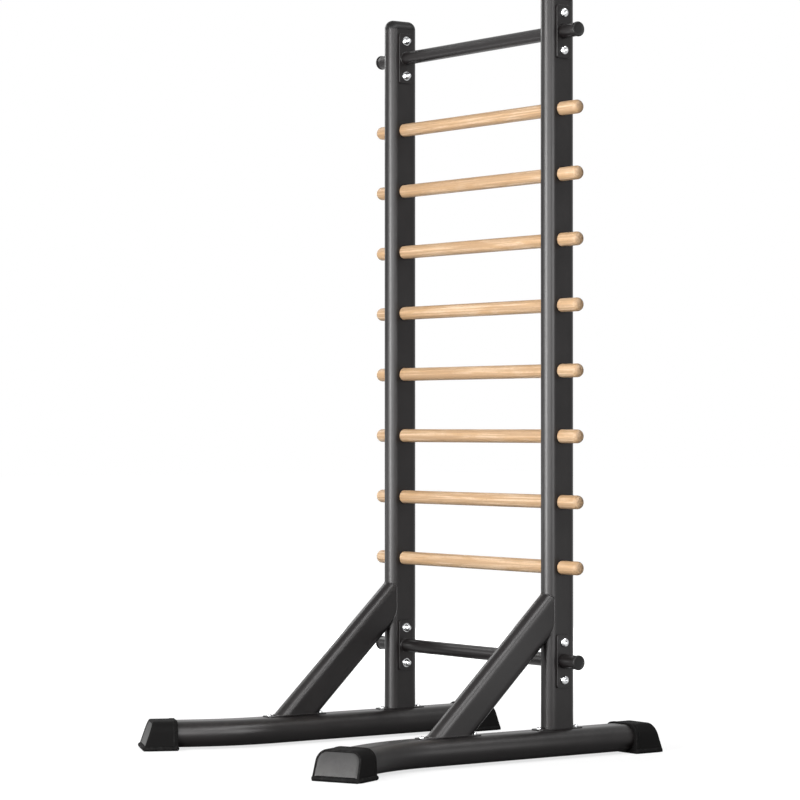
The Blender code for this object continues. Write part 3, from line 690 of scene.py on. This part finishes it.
def upright_tube():
    """Skin and lining of a drilled flat-oval tube round the Z axis."""
    skins = [oval(TUBE_THICK - 2 * inset, TUBE_DEPTH - 2 * inset) for inset in (0.0, TUBE_WALL)]
    grids = []
    for outline in skins:
        for first in (FLAT_STEPS, 2 * FLAT_STEPS + ROUND_STEPS):
            grids.append(grid(standing(outline[tube_columns(first, ROUND_STEPS)], stations), ring=False))
        for first in (0, FLAT_STEPS + ROUND_STEPS):
            flat = outline[tube_columns(first, FLAT_STEPS)]
            grids += [grid(standing(flat, heights), ring=False) for heights in plain]
    for height, radius in holes:
        low, high = (-HALF, height - HALF), (HALF, height + HALF)
        rows, edge = hole_cell((0, height), radius, low, high, FLAT_STEPS, HOLE_ROLL, TUBE_WALL)
        for sign in (-1, 1):
            across = sign * (TUBE_THICK / 2 + rows[..., 2])
            grids.append(grid(points_of(across, rows[..., 0], rows[..., 1]), edge))
    for height in (TUBE_BOTTOM, TUBE_TOP):
        grids.append(grid(np.concatenate([standing(outline, [height]) for outline in skins])))
    return grids


shell = upright_tube()
for side, sign in SIDES.items():
    tube = moved(shell, shift=upright_axis(sign))
    make_piece(f"{side}_upright_tube", tube, POWDER, f"{side}_upright")

# %% [markdown]
# ## Top caps
# A domed plastic cap closes each upright. Its outline shrinks like a quarter ellipse while it rises, so
# the flat oval ends in a soft ridge. A hair-thin step between tube and cap shows where one piece ends.

# %% Domed caps
CAP_STEM, LIP_INSET, LIP_ROUND, LIP_TALL = 0.020, 0.0002, 0.0006, 0.0016
DOME_RISE = cad_box[1][2] - TUBE_TOP - FIT
bend = quarter(1.0, 14)
lip = quarter(LIP_ROUND, 3, -np.pi / 2)
dome_inset = LIP_INSET + (TUBE_THICK / 2 - LIP_INSET) * (1 - bend[:, 0])
dome_height = LIP_TALL + (DOME_RISE - LIP_TALL) * bend[:, 1]
inset = np.concatenate([[TUBE_WALL + FIT] * 2, LIP_INSET + LIP_ROUND - lip[:, 0], dome_inset])
rise = np.concatenate([[-CAP_STEM, FIT], FIT + LIP_ROUND + lip[:, 1], FIT + dome_height])
inset = np.minimum(inset, TUBE_THICK / 2)
outlines = np.stack([oval(TUBE_THICK - 2 * step, TUBE_DEPTH - 2 * step) for step in inset])
stem_floor = standing(oval(0.0, TUBE_DEPTH - TUBE_THICK), [-CAP_STEM])
edge = np.concatenate([np.zeros(3), np.ones(len(lip)), np.linspace(0.6, 0, len(bend))])
dome = [grid(np.concatenate([stem_floor, raised(outlines, rise[:, None])]), edge)]
for side, sign in SIDES.items():
    top_cap = moved(dome, shift=upright_axis(sign, height=TUBE_TOP))
    make_piece(f"{side}_dome_cap", top_cap, PLASTIC, f"{side}_upright_top_cap")

# %% [markdown]
# ## Rungs
# Each rung is a turned dowel with rounded ends that stick out past the uprights. The surface is a
# revolution, laid along X. A lathe leaves the ends a touch uneven, so the flat end is very slightly
# crowned. The place of every point inside the trunk is stored for the wood grain.

# %% Dowel shape
END_ROUND, END_CROWN, STAIN_REACH = 0.013, 0.0004, 0.006
half = float(RUNG_BOXES[0][1][0])
radius = float(RUNG_BOXES[0][1][2] - RUNG_BOXES[0][0][2]) / 2
flat_end, shoulder = radius - END_ROUND, half - END_ROUND - END_CROWN
crown = points_of(flat_end * np.array([0.66, 0.33, 0.0]), half - END_CROWN * np.array([0.45, 0.12, 0.0]))
tip = np.concatenate([quarter(END_ROUND, 8) + (flat_end, shoulder), crown])
body = points_of(radius, np.linspace(-1, 1, 25) * shoulder)
profile = np.concatenate([(tip * (1, -1))[::-1], body[1:-1], tip])
sawn = np.clip((np.abs(profile[:, 1]) - (half - END_ROUND)) / STAIN_REACH, 0, 1)
dowel = [turned(profile, face=sawn)]
print("rung", 2 * half, "long and", 2 * radius, "thick")

# %% Dowels
PITHS = [
    (0.11, 0.021, 0.047), (0.83, 0.052, -0.020), (1.71, -0.034, 0.041), (2.45, 0.046, 0.030),
    (3.32, -0.050, 0.024), (4.08, 0.018, -0.058), (4.97, -0.027, -0.043), (5.66, 0.060, 0.012),
]
for number, (height, pith) in enumerate(zip(RUNG_HEIGHTS, PITHS), start=1):
    centre = np.array([0, UPRIGHT_Y, height])
    rung = make_piece(f"rung_{number}_dowel", moved(dowel, along_x(), centre), BEECH, f"rung_{number}")
    place = np.empty(len(rung.data.vertices) * 3, np.float32)
    rung.data.vertices.foreach_get("co", place)
    place = place.reshape(-1, 3) - centre + np.array(pith)
    trunk = rung.data.attributes.new("trunk", "FLOAT_VECTOR", "POINT")
    trunk.data.foreach_set("vector", place.astype(np.float32).ravel())

# %% [markdown]
# ## Flange plates
# A plate is clamped on each face of an upright where a crossbar passes. It is cut from flat bar with
# eased edges. Three hole cells side by side make the face; a point's distance from the outline tells
# how far the eased edge drops there. A Bevel modifier could ease it too, but not give the wear mask.


# %% Drilled plates
PLATE_STEPS, PLATE_ROLL = 10, 0.0008
PLATE_RAYS = (0.2, 0.45, 0.7, 0.84, 0.9, 0.93, 0.955, 0.975, 0.99, 1.0)
FACE_WEAR, SIDE_WEAR = 0.6, 0.4


def plate(half_u, half_v, thick, corner, ease, holes, split):
    """Plate in (u, v) with depth 0 at its back, drilled at (v, radius) in three strips parted at +-split.

    The square corners are pulled in to rounds. The drop at distance d from the outline is
    ease - sqrt(ease^2 - (ease - d)^2), a quarter round.
    """
    inner = np.array([half_u, half_v]) - corner
    splits = (-half_v, -split, split, half_v)
    grids = []
    for index, (centre, radius) in enumerate(holes):
        low, high = (-half_u, splits[index]), (half_u, splits[index + 1])
        rows, edge = hole_cell((0, centre), radius, low, high, PLATE_STEPS, PLATE_ROLL, thick, PLATE_RAYS)
        past = np.maximum(np.abs(rows[..., :2]) - inner, 0)
        length = np.maximum(np.linalg.norm(past, axis=-1, keepdims=True), 1e-9)
        past_round = past * np.maximum(past.max(axis=-1, keepdims=True), 1e-9) / length
        rows[..., :2] += np.sign(rows[..., :2]) * (past_round - past)
        outside = np.abs(rows[..., :2]) - inner
        beyond = np.linalg.norm(np.maximum(outside, 0), axis=-1) + np.minimum(outside.max(axis=-1), 0)
        near = np.clip(ease - corner + beyond, 0, ease)
        front = rows[..., 2] > -1e-9
        rows[..., 2] += thick - front * (ease - np.sqrt(ease ** 2 - near ** 2))
        grids.append(grid(rows, FACE_WEAR * np.maximum(edge[:, None], front * near / ease)))
        outer_sides = [1, 3] + [0] * (index == 0) + [2] * (index == len(holes) - 1)
        for side in outer_sides:
            columns = (side * PLATE_STEPS + np.arange(PLATE_STEPS + 1)) % (4 * PLATE_STEPS)
            grids.append(grid(rows[[0, -1]][:, columns], SIDE_WEAR, ring=False))
    return grids


# %% Outer flanges
FLANGE_THICK, FLANGE_WIDE, FLANGE_TALL = 0.006, 0.048, 0.146
FACE_OUT = TUBE_THICK / 2 + FIT
flange_holes = [(-BOLT_RISE, BOLT_HOLE), (0.0, BAR_HOLE), (BOLT_RISE, BOLT_HOLE)]
sizes = {"half_u": FLANGE_WIDE / 2, "half_v": FLANGE_TALL / 2, "thick": FLANGE_THICK, "corner": 0.006}
flange = plate(**sizes, ease=0.0009, holes=flange_holes, split=0.0265)
for name, height in BAR_HEIGHTS.items():
    for side, sign in SIDES.items():
        outer = moved(flange, along_x(sign), upright_axis(sign, FACE_OUT, height))
        make_piece(f"{side}_{name}_flange", outer, POWDER, f"{side}_{name}_outer_plate")

# %% [markdown]
# ## Weld beads
# Where steel is welded, a bead of metal lies in the corner. It is a small round carried along the seam,
# and its radius swells and shrinks every few millimetres, the ripple that a welder's steady hand leaves.


# %% Beads
RIPPLE_PITCH, RIPPLE_SWELL, BEAD_WEAR = 0.0045, 0.10, 0.3


def bead(path, first, second, radius):
    """Round carried along a closed seam: path + r (cos a * first + sin a * second), r rippling."""
    step = np.linalg.norm(np.diff(path, axis=0, append=path[:1]), axis=-1)
    waves = round(float(step.sum()) / RIPPLE_PITCH)
    travelled = (np.cumsum(step) - step) / step.sum()
    swell = radius * (1 + RIPPLE_SWELL * np.abs(np.sin(np.pi * waves * travelled)))
    section = circle(12)
    first, second = np.broadcast_to(first, path.shape), np.broadcast_to(second, path.shape)
    around = section[None, :, :1] * first[:, None] + section[None, :, 1:] * second[:, None]
    return grid(path[:, None] + swell[:, None, None] * around, BEAD_WEAR, loop=True)


def finer(loop_points, count):
    """Closed loop of points spread evenly along its own length."""
    closed = np.concatenate([loop_points, loop_points[:1]])
    length = np.concatenate([[0], np.cumsum(np.linalg.norm(np.diff(closed, axis=0), axis=-1))])
    places = np.linspace(0, length[-1], count, endpoint=False)
    return points_of(*[np.interp(places, length, closed[:, axis]) for axis in range(3)])


# %% [markdown]
# ## Crossbars
# A steel tube runs through both uprights at the top and at the bottom. Inside each upright a plate is
# welded to it, so the bar, two plates and two beads are one piece. The bar's open ends are plugged.

# %% Bars
BAR_RADIUS, BAR_WALL, BAR_EASE, BAR_PLAIN = 0.019, 0.0025, 0.0005, 0.44
BAR_BEAD, BEAD_LIFT = 0.0016, 0.0002
bar_half = float(box_of("top_crossbar")[1][0])
end = quarter(BAR_EASE, 3) + (BAR_RADIUS - BAR_EASE, bar_half - BAR_EASE)
body = points_of(BAR_RADIUS, np.linspace(-BAR_PLAIN, BAR_PLAIN, 15))
lining = points_of(BAR_RADIUS - BAR_WALL, np.linspace(bar_half, -bar_half, 9))
profile = np.concatenate([(end * (1, -1))[::-1], body, end, lining])
end_wear = np.ones(len(end))
bar_edge = np.concatenate([end_wear, np.zeros(len(body)), end_wear, np.zeros(len(lining))])
bar = [turned(profile, bar_edge, loop=True)]
around = points_of(0.0, *circle(240).T)
for name, height in BAR_HEIGHTS.items():
    grids = moved(bar, along_x(), (0, UPRIGHT_Y, height))
    for side, sign in SIDES.items():
        grids += moved(flange, along_x(-sign), upright_axis(sign, -FACE_OUT, height))
        middle = upright_axis(sign, -FACE_OUT - FLANGE_THICK, height)
        seam = middle + (BAR_RADIUS + BEAD_LIFT) * around
        grids.append(bead(seam, (1.0, 0.0, 0.0), around, BAR_BEAD))
    make_piece(f"{name}_bar_with_plates", grids, POWDER, f"{name}_crossbar")

# %% [markdown]
# ## End plugs
# Black plastic plugs close the bars. Each has a stem inside the tube, a round rim just wider than the
# bar, and a shallow dished face inside the rim, which catches the light as a ring.

# %% Plugs
RIM, RIM_ROUND, RIM_EASE = 0.0205, 0.0028, 0.0005
PLUG_FACE = FIT + 0.006
STEM, STEM_LONG, STEM_TAPER = 0.0162, 0.018, 0.0007
stem = [(0, -STEM_LONG), (STEM - STEM_TAPER, -STEM_LONG), (STEM, 0.0008 - STEM_LONG), (STEM, FIT)]
back = [(RIM - RIM_EASE, FIT), (RIM, FIT + RIM_EASE)]
crown = quarter(RIM_ROUND, 7) + (RIM - RIM_ROUND, PLUG_FACE - RIM_ROUND)
dish_radius = np.array([RIM - 0.0050, RIM - 0.0058, RIM - 0.0064, 0.007, 0.0])
dish = points_of(dish_radius, PLUG_FACE - np.array([0.0001, 0.0006, 0.0008, 0.0006, 0.0005]))
edge = np.concatenate([np.zeros(len(stem)), np.ones(len(back) + len(crown)), [0.6, 0.2, 0, 0, 0]])
face = np.concatenate([np.zeros(len(stem) + len(back) + len(crown)), [0.2, 0.4, 0.5, 0.5, 0.5]])
plug = [turned(np.concatenate([stem, back, crown, dish]), edge, face)]
for name, height in BAR_HEIGHTS.items():
    for side, sign in SIDES.items():
        end_plug = moved(plug, along_x(sign), (sign * bar_half, UPRIGHT_Y, height))
        make_piece(f"{side}_{name}_end_plug", end_plug, PLASTIC, f"{side}_{name}_crossbar_plug")

# %% [markdown]
# ## Bolts and cap nuts
# The bolts have low round heads with a hexagon socket, and domed nuts cover their threads on the inner
# side. Round parts are revolutions; where a row turns into a hexagon, its radius follows the distance
# from the middle of a flat, r = flats / 2 / cos(angle from the flat's middle).


# %% Fastener shapes
CORNER_EASE = 0.06
ROUND_ROWS = 12


def hexagonal(count):
    """Radius of a hexagon one wide across its flats, by angle, with its corners a little eased."""
    turn = np.linspace(0, 2 * np.pi, count, endpoint=False)
    from_flat = (turn + np.pi / 6) % (np.pi / 3) - np.pi / 6
    return np.minimum(0.5 / np.cos(from_flat), 0.5 / np.cos(np.pi / 6 - CORNER_EASE))


def formed(rows, edge, count=48):
    """Stack of rings along z: each row (radius, height, hexagon) is a circle or, for 1, a hexagon."""
    radius, height, hexagon = rows[:, :1], rows[:, 1:2], rows[:, 2:]
    radius = radius * ((1 - hexagon) + hexagon * 2 * hexagonal(count))
    return grid(raised(circle(count) * radius[..., None], height), edge)


def button_bolt(shank, head, head_height, socket, socket_depth, length):
    """Rings from the end of the shank up over a low round head and down into its hexagon socket."""
    chamfer, ease, flat, hollow = 0.0008, 0.0003, 0.625 * socket, socket / 2
    turn = np.linspace(0, np.pi / 2, ROUND_ROWS)
    crown = points_of(flat + (head - flat) * np.cos(turn), head_height * (0.22 + 0.78 * np.sin(turn)), 0)
    tip_rows = [(0, -length, 0), (shank - chamfer, -length, 0)]
    shank_rows = tip_rows + [(shank, chamfer - length, 0), (shank, 0, 0)]
    head_rows = [(head - ease, 0, 0), (head, ease, 0)]
    mouth_rows = [(hollow + 0.0004, head_height, 1), (hollow, head_height - 0.0005, 1)]
    floor = head_height - socket_depth
    floor_rows = [(hollow, floor, 1), (0, floor - 0.0007, 1)]
    parts = [(shank_rows, 0), (head_rows, 1), (crown, 0), (mouth_rows, 1), (floor_rows, 0)]
    edge = np.concatenate([np.full(len(rows), wear) for rows, wear in parts])
    return [formed(np.concatenate([rows for rows, _ in parts]), edge)]


def cap_nut():
    """Rings from the blind bore out over a round collar, up six flats and over a dome."""
    bore, blind, collar, flat = BOLT_HOLE, 0.0103, 0.0134, 0.0095
    turn = np.linspace(0, np.pi / 2, ROUND_ROWS)
    dome = points_of(0.0088 * np.cos(turn), 0.0094 + 0.0086 * np.sin(turn), 0)
    bore_rows = [(0, blind, 0), (bore, blind, 0), (bore, 0, 0)]
    collar_rows = [(collar - 0.0003, 0, 0), (collar, 0.0004, 0), (collar, 0.0017, 0), (0.0126, 0.0025, 0)]
    flat_rows = [(0.0098, 0.0027, 1), (flat, 0.0032, 1), (flat, 0.0080, 1), (0.0092, 0.0090, 0.6)]
    edge = np.concatenate([np.zeros(3), np.ones(4), [0.4, 0, 0, 1], np.zeros(ROUND_ROWS)])
    return [formed(np.concatenate([bore_rows, collar_rows, flat_rows, dome]), edge)]


# %% Through bolts
seat = FACE_OUT + FLANGE_THICK + FIT
bolt = button_bolt(0.006, 0.0125, 0.0075, socket=0.008, socket_depth=0.004, length=2 * seat + 0.010)
nut = cap_nut()
for name, height in BAR_HEIGHTS.items():
    for side, sign in SIDES.items():
        for level, rise in (("lower", -BOLT_RISE), ("upper", BOLT_RISE)):
            label = f"{side}_{name}_{level}"
            head = moved(bolt, along_x(sign), upright_axis(sign, seat, height + rise))
            make_piece(f"{label}_round_bolt", head, ZINC, f"{label}_bolt")
            tail = moved(nut, along_x(-sign), upright_axis(sign, -seat, height + rise))
            make_piece(f"{label}_domed_nut", tail, ZINC, f"{label}_cap_nut")

# %% [markdown]
# ## Feet
# Each foot is a wide flat-oval tube laid on its side, straight under the upright and bent outwards in
# front of the brace. The outline is carried along the middle line: straight, then a circular arc, then
# straight again. A skin and a lining give the tube its wall, hidden in the caps.

# %% Bent feet
FOOT_WIDE, FOOT_HIGH, FOOT_WALL, FOOT_LIFT = 0.118, 0.073, 0.003, 0.0055
FOOT_TOP, FOOT_MIDDLE = FOOT_LIFT + FOOT_HIGH, FOOT_LIFT + FOOT_HIGH / 2
HEEL, BEND_AHEAD, BEND_RADIUS, TOE = 0.325, 0.5815, 0.500, 0.264
BEND = math.radians(25.0)
INTO_CAP = 0.053 + FIT


def toe_point(sign, distance):
    """Point on the bent run, at a distance past the corner where the two straight runs would meet."""
    return np.array([sign * distance * math.sin(BEND), -BEND_AHEAD - distance * math.cos(BEND), 0.0])


def foot_path(sign):
    """Middle points and headings of a foot from heel to toe, seen from above."""
    start = BEND_RADIUS * math.tan(BEND / 2) - BEND_AHEAD
    straight = points_of(0.0, np.linspace(HEEL - INTO_CAP, start, 16, endpoint=False), 0.0)
    turn = np.linspace(0, BEND, 25)
    arc = points_of(sign * BEND_RADIUS * (1 - np.cos(turn)), start - BEND_RADIUS * np.sin(turn), 0.0)
    run = arc[-1] + (toe_point(sign, TOE - INTO_CAP) - arc[-1]) * np.linspace(0, 1, 7)[1:, None]
    heading = np.concatenate([np.zeros(len(straight)), turn, np.full(len(run), BEND)])
    return np.concatenate([straight, arc, run]), heading


for side, sign in SIDES.items():
    path, heading = foot_path(sign)
    lateral = points_of(np.cos(heading), sign * np.sin(heading), 0.0)
    skins = []
    for inset in (0.0, FOOT_WALL):
        outline = oval(FOOT_HIGH - 2 * inset, FOOT_WIDE - 2 * inset)
        across = path[:, None] + lateral[:, None] * outline[None, :, 1:]
        skins.append(across + np.array([0, 0, 1]) * (outline[None, :, :1] + FOOT_MIDDLE))
    foot = [grid(np.concatenate([skins[0], skins[1][::-1]]), loop=True)]
    make_piece(f"{side}_bent_foot", moved(foot, shift=upright_axis(sign)), POWDER, f"{side}_foot")

# %% [markdown]
# ## Foot caps
# A moulded cap covers each end of a foot. Rows of the same rounded outline run from its mouth to its
# end: a bead with two fine grooves round the mouth, a plain body, a soft edge, a raised border and a
# sunk panel. The body widens towards the floor and its end leans back, both in step with the height.
# A pocket takes the foot tube, so the cap is a real shell.


# %% Cap outlines
CAP_WIDE, CAP_TOP, CAP_END = FOOT_WIDE + 0.016, FOOT_TOP + 0.0027, 0.070
CAP_LEAN, CAP_FLARE = 0.028, 0.05
FLOOR_ROUND, TOP_ROUND = 0.004, 0.030


def rounded_box(half_u, low_v, high_v, low_round, high_round, steps=10, straight=6):
    """Outline of four quarter rounds, one radius at its low and one at its high side, sides subdivided."""
    centres = [
        (half_u - high_round, high_v - high_round, high_round),
        (high_round - half_u, high_v - high_round, high_round),
        (low_round - half_u, low_v + low_round, low_round),
        (half_u - low_round, low_v + low_round, low_round),
    ]
    starts = np.arange(4) * np.pi / 2
    arcs = [quarter(radius, steps, start) + (u, v) for start, (u, v, radius) in zip(starts, centres)]
    share = np.linspace(0, 1, straight + 1)[1:-1, None]
    parts = []
    for arc, following in zip(arcs, arcs[1:] + arcs[:1]):
        parts += [arc, arc[-1] + (following[0] - arc[-1]) * share]
    return np.concatenate(parts)


def cap_row(inset, along, lean):
    """One outline of the cap: u grows by the flare and y by the lean from the top down to the floor."""
    sizes = (CAP_WIDE / 2 - inset, max(inset, 0.0), CAP_TOP - inset)
    outline = rounded_box(*sizes, FLOOR_ROUND, TOP_ROUND - inset)
    down = 1 - outline[:, 1] / CAP_TOP
    return points_of(outline[:, 0] * (1 + CAP_FLARE * down), along + lean * down, outline[:, 1])


# %% Cap body
MOUTH_INSET, BEAD_OUT, BEAD_LONG, GROOVE_OUT = 0.0002, 0.001, 0.014, 0.0002
# Each row of a groove, and of the step down to the panel, ends with its wear.
GROOVE = [(BEAD_OUT, -0.0009, 0.8), (GROOVE_OUT, -0.0004, 0)]
GROOVE += [(GROOVE_OUT, 0.0004, 0), (BEAD_OUT, 0.0009, 0.8)]
PANEL_STEP = [(-0.0003, 0, 1), (0, 0.0003, 0.8), (0.0008, 0.0012, 0), (0.0014, 0.0015, 0)]
CAP_EASE, CAP_BORDER = 0.0025, 0.003
POCKET_DEPTH = 0.045


def cap_skin():
    """Outlines from the mouth to the middle of the panel, with their edge and face masks.

    A row is (inset, distance from the mouth, lean, edge); an inset below zero stands proud.
    """
    rows = [(MOUTH_INSET, 0.0, 0, 0.6), (-0.0006, 0.0004, 0, 1), (-BEAD_OUT, 0.0012, 0, 1)]
    for place in (0.0042, 0.0084):
        rows += [(-out, place + offset, 0, worn) for out, offset, worn in GROOVE]
    rows += [(-BEAD_OUT, 0.0125, 0, 1), (-0.0007, 0.0133, 0, 1), (0.0, BEAD_LONG, 0, 0)]
    body_end = CAP_END - CAP_EASE
    for share in np.linspace(0, 1, 9)[1:]:
        rows.append((0.0, BEAD_LONG + (body_end - BEAD_LONG) * share, CAP_LEAN * share, 0))
    rows += [(CAP_EASE - x, body_end + y, CAP_LEAN, 1) for x, y in quarter(CAP_EASE, 6)[1:]]
    border = CAP_EASE + CAP_BORDER
    rows += [(border + further, CAP_END - sunk, CAP_LEAN, worn) for further, sunk, worn in PANEL_STEP]
    skin = np.stack([cap_row(*row[:3]) for row in rows])
    middle = skin[-1].mean(axis=0) * (0, 1, 1)
    panel = skin[-1] + (middle - skin[-1]) * np.linspace(0, 1, 8)[1:, None, None]
    edge = np.concatenate([[row[3] for row in rows], np.zeros(len(panel))])
    face = np.concatenate([np.zeros(len(rows) - 1), np.ones(len(panel) + 1)])
    return np.concatenate([skin, panel]), edge, face


def cap_pocket(mouth):
    """Pocket for the foot's flat oval, its points lying on rays towards the points of the mouth.

    A ray (cos, sin) meets the flat sides at r / |sin|, or else the end rounds, which stand s from the
    middle, at s |cos| + sqrt(r^2 - s^2 sin^2).
    """
    radius, straight = FOOT_HIGH / 2 + FIT, (FOOT_WIDE - FOOT_HIGH) / 2
    ray = unit(mouth[:, [0, 2]] - (0, FOOT_MIDDLE))
    across, up = np.abs(ray.T)
    flat_reach = radius / np.maximum(up, 1e-9)
    round_reach = straight * across + np.sqrt(np.maximum(radius ** 2 - (straight * up) ** 2, 0))
    reach = np.where(flat_reach * across <= straight, flat_reach, round_reach)
    depth = np.linspace(POCKET_DEPTH, 0, 4)[:, None]
    walls = points_of(ray[:, 0] * reach, depth, FOOT_MIDDLE + ray[:, 1] * reach)
    bottom = np.broadcast_to((0.0, POCKET_DEPTH, FOOT_MIDDLE), walls[:1].shape)
    return np.concatenate([bottom, walls])


def foot_cap():
    """Closed skin of a cap: the pocket, then the body, then the sunk panel, each row after the last."""
    skin, edge, face = cap_skin()
    pocket = cap_pocket(skin[0])
    unmarked = np.zeros(len(pocket))
    edge, face = np.concatenate([unmarked, edge]), np.concatenate([unmarked, face])
    return grid(np.concatenate([pocket, skin]), edge, face)


# %% [markdown]
# ## Rolled lip
# Round the floor the cap spreads into a thick rolled lip. Its section, a half round with a hollow above
# it, is carried along the whole outline of the base. Behind the cap's mouth it has to pass under the
# foot tube, so its height sinks there to less than a third.


# %% Cap lip
CAP_LENGTH = 0.098
ROLL_IN, ROLL_WIDE, ROLL_UP, ROLL_HIGH = 0.0064, 0.0061, 0.0066, 0.0064
HOLLOW, HOLLOW_IN, HOLLOW_UP = 0.003, 0.0070, 0.0160
# The roll's edge mask is set high, so the rubbed-edge lightening is wear and also a painted highlight along
# the lip.
LIP_ROOT, LIP_SINK, LIP_WEAR_AND_PAINTED_HIGHLIGHT = 0.0165, 0.69, 0.8


def cap_lip():
    """Closed section (out, up) carried round the base outline, where out points away from the body."""
    turn = np.linspace(-0.42 * np.pi, 0.5 * np.pi, 15)
    roll = points_of(ROLL_WIDE * np.cos(turn) - ROLL_IN, ROLL_HIGH * np.sin(turn) + ROLL_UP)
    hollow = (quarter(HOLLOW, 5, np.pi) + (-HOLLOW_IN, HOLLOW_UP))[::-1]
    under = [(-LIP_ROOT, 0.0004), (-0.0085, 0.0)]
    section = np.concatenate([under, roll, hollow, [(-LIP_ROOT, 0.0158)]])
    half_wide = CAP_WIDE / 2 * (1 + CAP_FLARE) + 0.0067
    outline = rounded_box(half_wide, -0.003, CAP_LENGTH + 0.003, 0.008, 0.022, steps=14, straight=8)
    tangent = unit(np.roll(outline, -1, axis=0) - np.roll(outline, 1, axis=0))
    outward = points_of(tangent[:, 1], -tangent[:, 0])
    flat = outline[:, None] + outward[:, None] * section[None, :, :1]
    behind_body = np.clip((0.027 - outline[:, 1]) / 0.011, 0, 1)
    below_tube = (behind_body * np.clip((0.070 - np.abs(outline[:, 0])) / 0.012, 0, 1))[:, None]
    height = section[None, :, 1] * (1 - LIP_SINK * below_tube ** 2 * (3 - 2 * below_tube))
    edge = np.concatenate([np.zeros(len(under)), np.full(len(roll), LIP_WEAR_AND_PAINTED_HIGHLIGHT), np.zeros(len(hollow) + 1)])
    return grid(raised(flat, height), np.broadcast_to(edge, height.shape), loop=True)


# %% Caps on both ends of the feet
cap = [foot_cap(), cap_lip()]
for side, sign in SIDES.items():
    toe, heel = toe_point(sign, TOE - CAP_LENGTH), np.array([0, HEEL - CAP_LENGTH, 0])
    for name, place, heading in (("front", toe, math.pi + sign * BEND), ("back", heel, 0.0)):
        c, s = math.cos(heading), math.sin(heading)
        end_cap = moved(cap, [[c, -s, 0], [s, c, 0], [0, 0, 1]], upright_axis(sign) + place)
        make_piece(f"{side}_{name}_end_cap", end_cap, FOOT_PLASTIC, f"{side}_{name}_foot_cap")

# %% [markdown]
# ## Braces
# A slanted flat-oval tube ties each foot to its upright. It is cut level on the foot and fish-mouthed
# to fit the upright's round front: every line of the tube simply runs on until it meets the level cut
# at one end and the circle of the upright at the other. Beads of weld close both seams.

# %% Brace tubes
BRACE_ANGLE, BRACE_REACH = math.radians(43.2), 0.374
BRACE_THICK, BRACE_DEEP = 0.050, 0.100
TOP_BEAD, FOOT_BEAD, FOOT_BEAD_LIFT = 0.0013, 0.0018, 0.0004
along = np.array([0, math.cos(BRACE_ANGLE), math.sin(BRACE_ANGLE)])
square = np.array([0, -math.sin(BRACE_ANGLE), math.cos(BRACE_ANGLE)])


def brace_skin(inset):
    """Lines of the tube from the level cut on the foot to the upright's front round."""
    outline = oval(BRACE_THICK - 2 * inset, BRACE_DEEP - 2 * inset)
    points = np.array([0, -BRACE_REACH, FOOT_TOP]) + outline[:, :1] * (1, 0, 0) + outline[:, 1:] * square
    start = points + along * ((TUBE_BOTTOM - points[:, 2:]) / along[2])
    radius = TUBE_THICK / 2 + FIT
    front = -HALF - np.sqrt(np.maximum(radius ** 2 - points[:, :1] ** 2, 0))
    end = points + along * ((front - points[:, 1:2]) / along[1])
    return start + (end - start) * np.linspace(0, 1, 13)[:, None, None]


outer, inner = brace_skin(0.0), brace_skin(TUBE_WALL)
top_seam = finer(outer[-1], 520)
away = unit((top_seam + (0, HALF, 0)) * (1, 1, 0))
forward = np.roll(top_seam, -1, axis=0) - np.roll(top_seam, 1, axis=0)
foot_seam = finer(outer[0], 420)
outward = unit((foot_seam - foot_seam.mean(axis=0)) * (1, 1, 0))
brace = [
    grid(np.concatenate([outer, inner[::-1]]), loop=True),
    bead(top_seam, away, unit(np.cross(away, forward)), TOP_BEAD),
    bead(foot_seam + (0, 0, FOOT_BEAD_LIFT), outward, (0.0, 0.0, 1.0), FOOT_BEAD),
]
for side, sign in SIDES.items():
    make_piece(f"{side}_brace_tube", moved(brace, shift=upright_axis(sign)), POWDER, f"{side}_brace")

# %% [markdown]
# ## Base plates
# A thin plate under each upright and each brace is held to the foot by two small bright bolts, one in
# front and one behind the tube. The plates are the drilled plates again, laid flat. The plate function
# drills each of its three strips, so the middle one has a small hole too, hidden under the tube.

# %% Base plates and bolts
BASE_THICK, BASE_PAST, BOLT_PAST, STRIP_HALF = 0.0025, 0.027, 0.015, 0.012
BASE_BOLT_HOLE, HIDDEN_HOLE = 0.0043, 0.004
small_bolt = button_bolt(0.004, 0.0075, 0.005, socket=0.005, socket_depth=0.0025, length=0.0175)
runs = {"upright": (0.0, BRACE_DEEP), "brace": (-BRACE_REACH, BRACE_DEEP / math.sin(BRACE_ANGLE))}
for kind, (distance, run) in runs.items():
    reach = run / 2 + BOLT_PAST
    base_holes = [(-reach, BASE_BOLT_HOLE), (0.0, HIDDEN_HOLE), (reach, BASE_BOLT_HOLE)]
    sizes = {"half_u": 0.022, "half_v": run / 2 + BASE_PAST, "thick": BASE_THICK, "corner": 0.010}
    laid = plate(**sizes, ease=0.0008, holes=base_holes, split=reach - STRIP_HALF)
    for side, sign in SIDES.items():
        seat = upright_axis(sign, height=FOOT_TOP + FIT) + (0, distance, 0)
        make_piece(f"{side}_{kind}_plate", moved(laid, shift=seat), POWDER, f"{side}_{kind}_base_plate")
        for end, offset in (("front", -reach), ("back", reach)):
            label = f"{side}_{kind}_{end}"
            bolt = moved(small_bolt, shift=seat + (0, offset, BASE_THICK + FIT))
            make_piece(f"{label}_small_bolt", bolt, ZINC, f"{label}_base_bolt")

# %% [markdown]
# ## Size and finish
# The dressed ladder is meant to fill the same box as the CAD model. The view layer is updated once more, so
# every piece stands in place.

# %% Finish
bpy.context.view_layer.update()
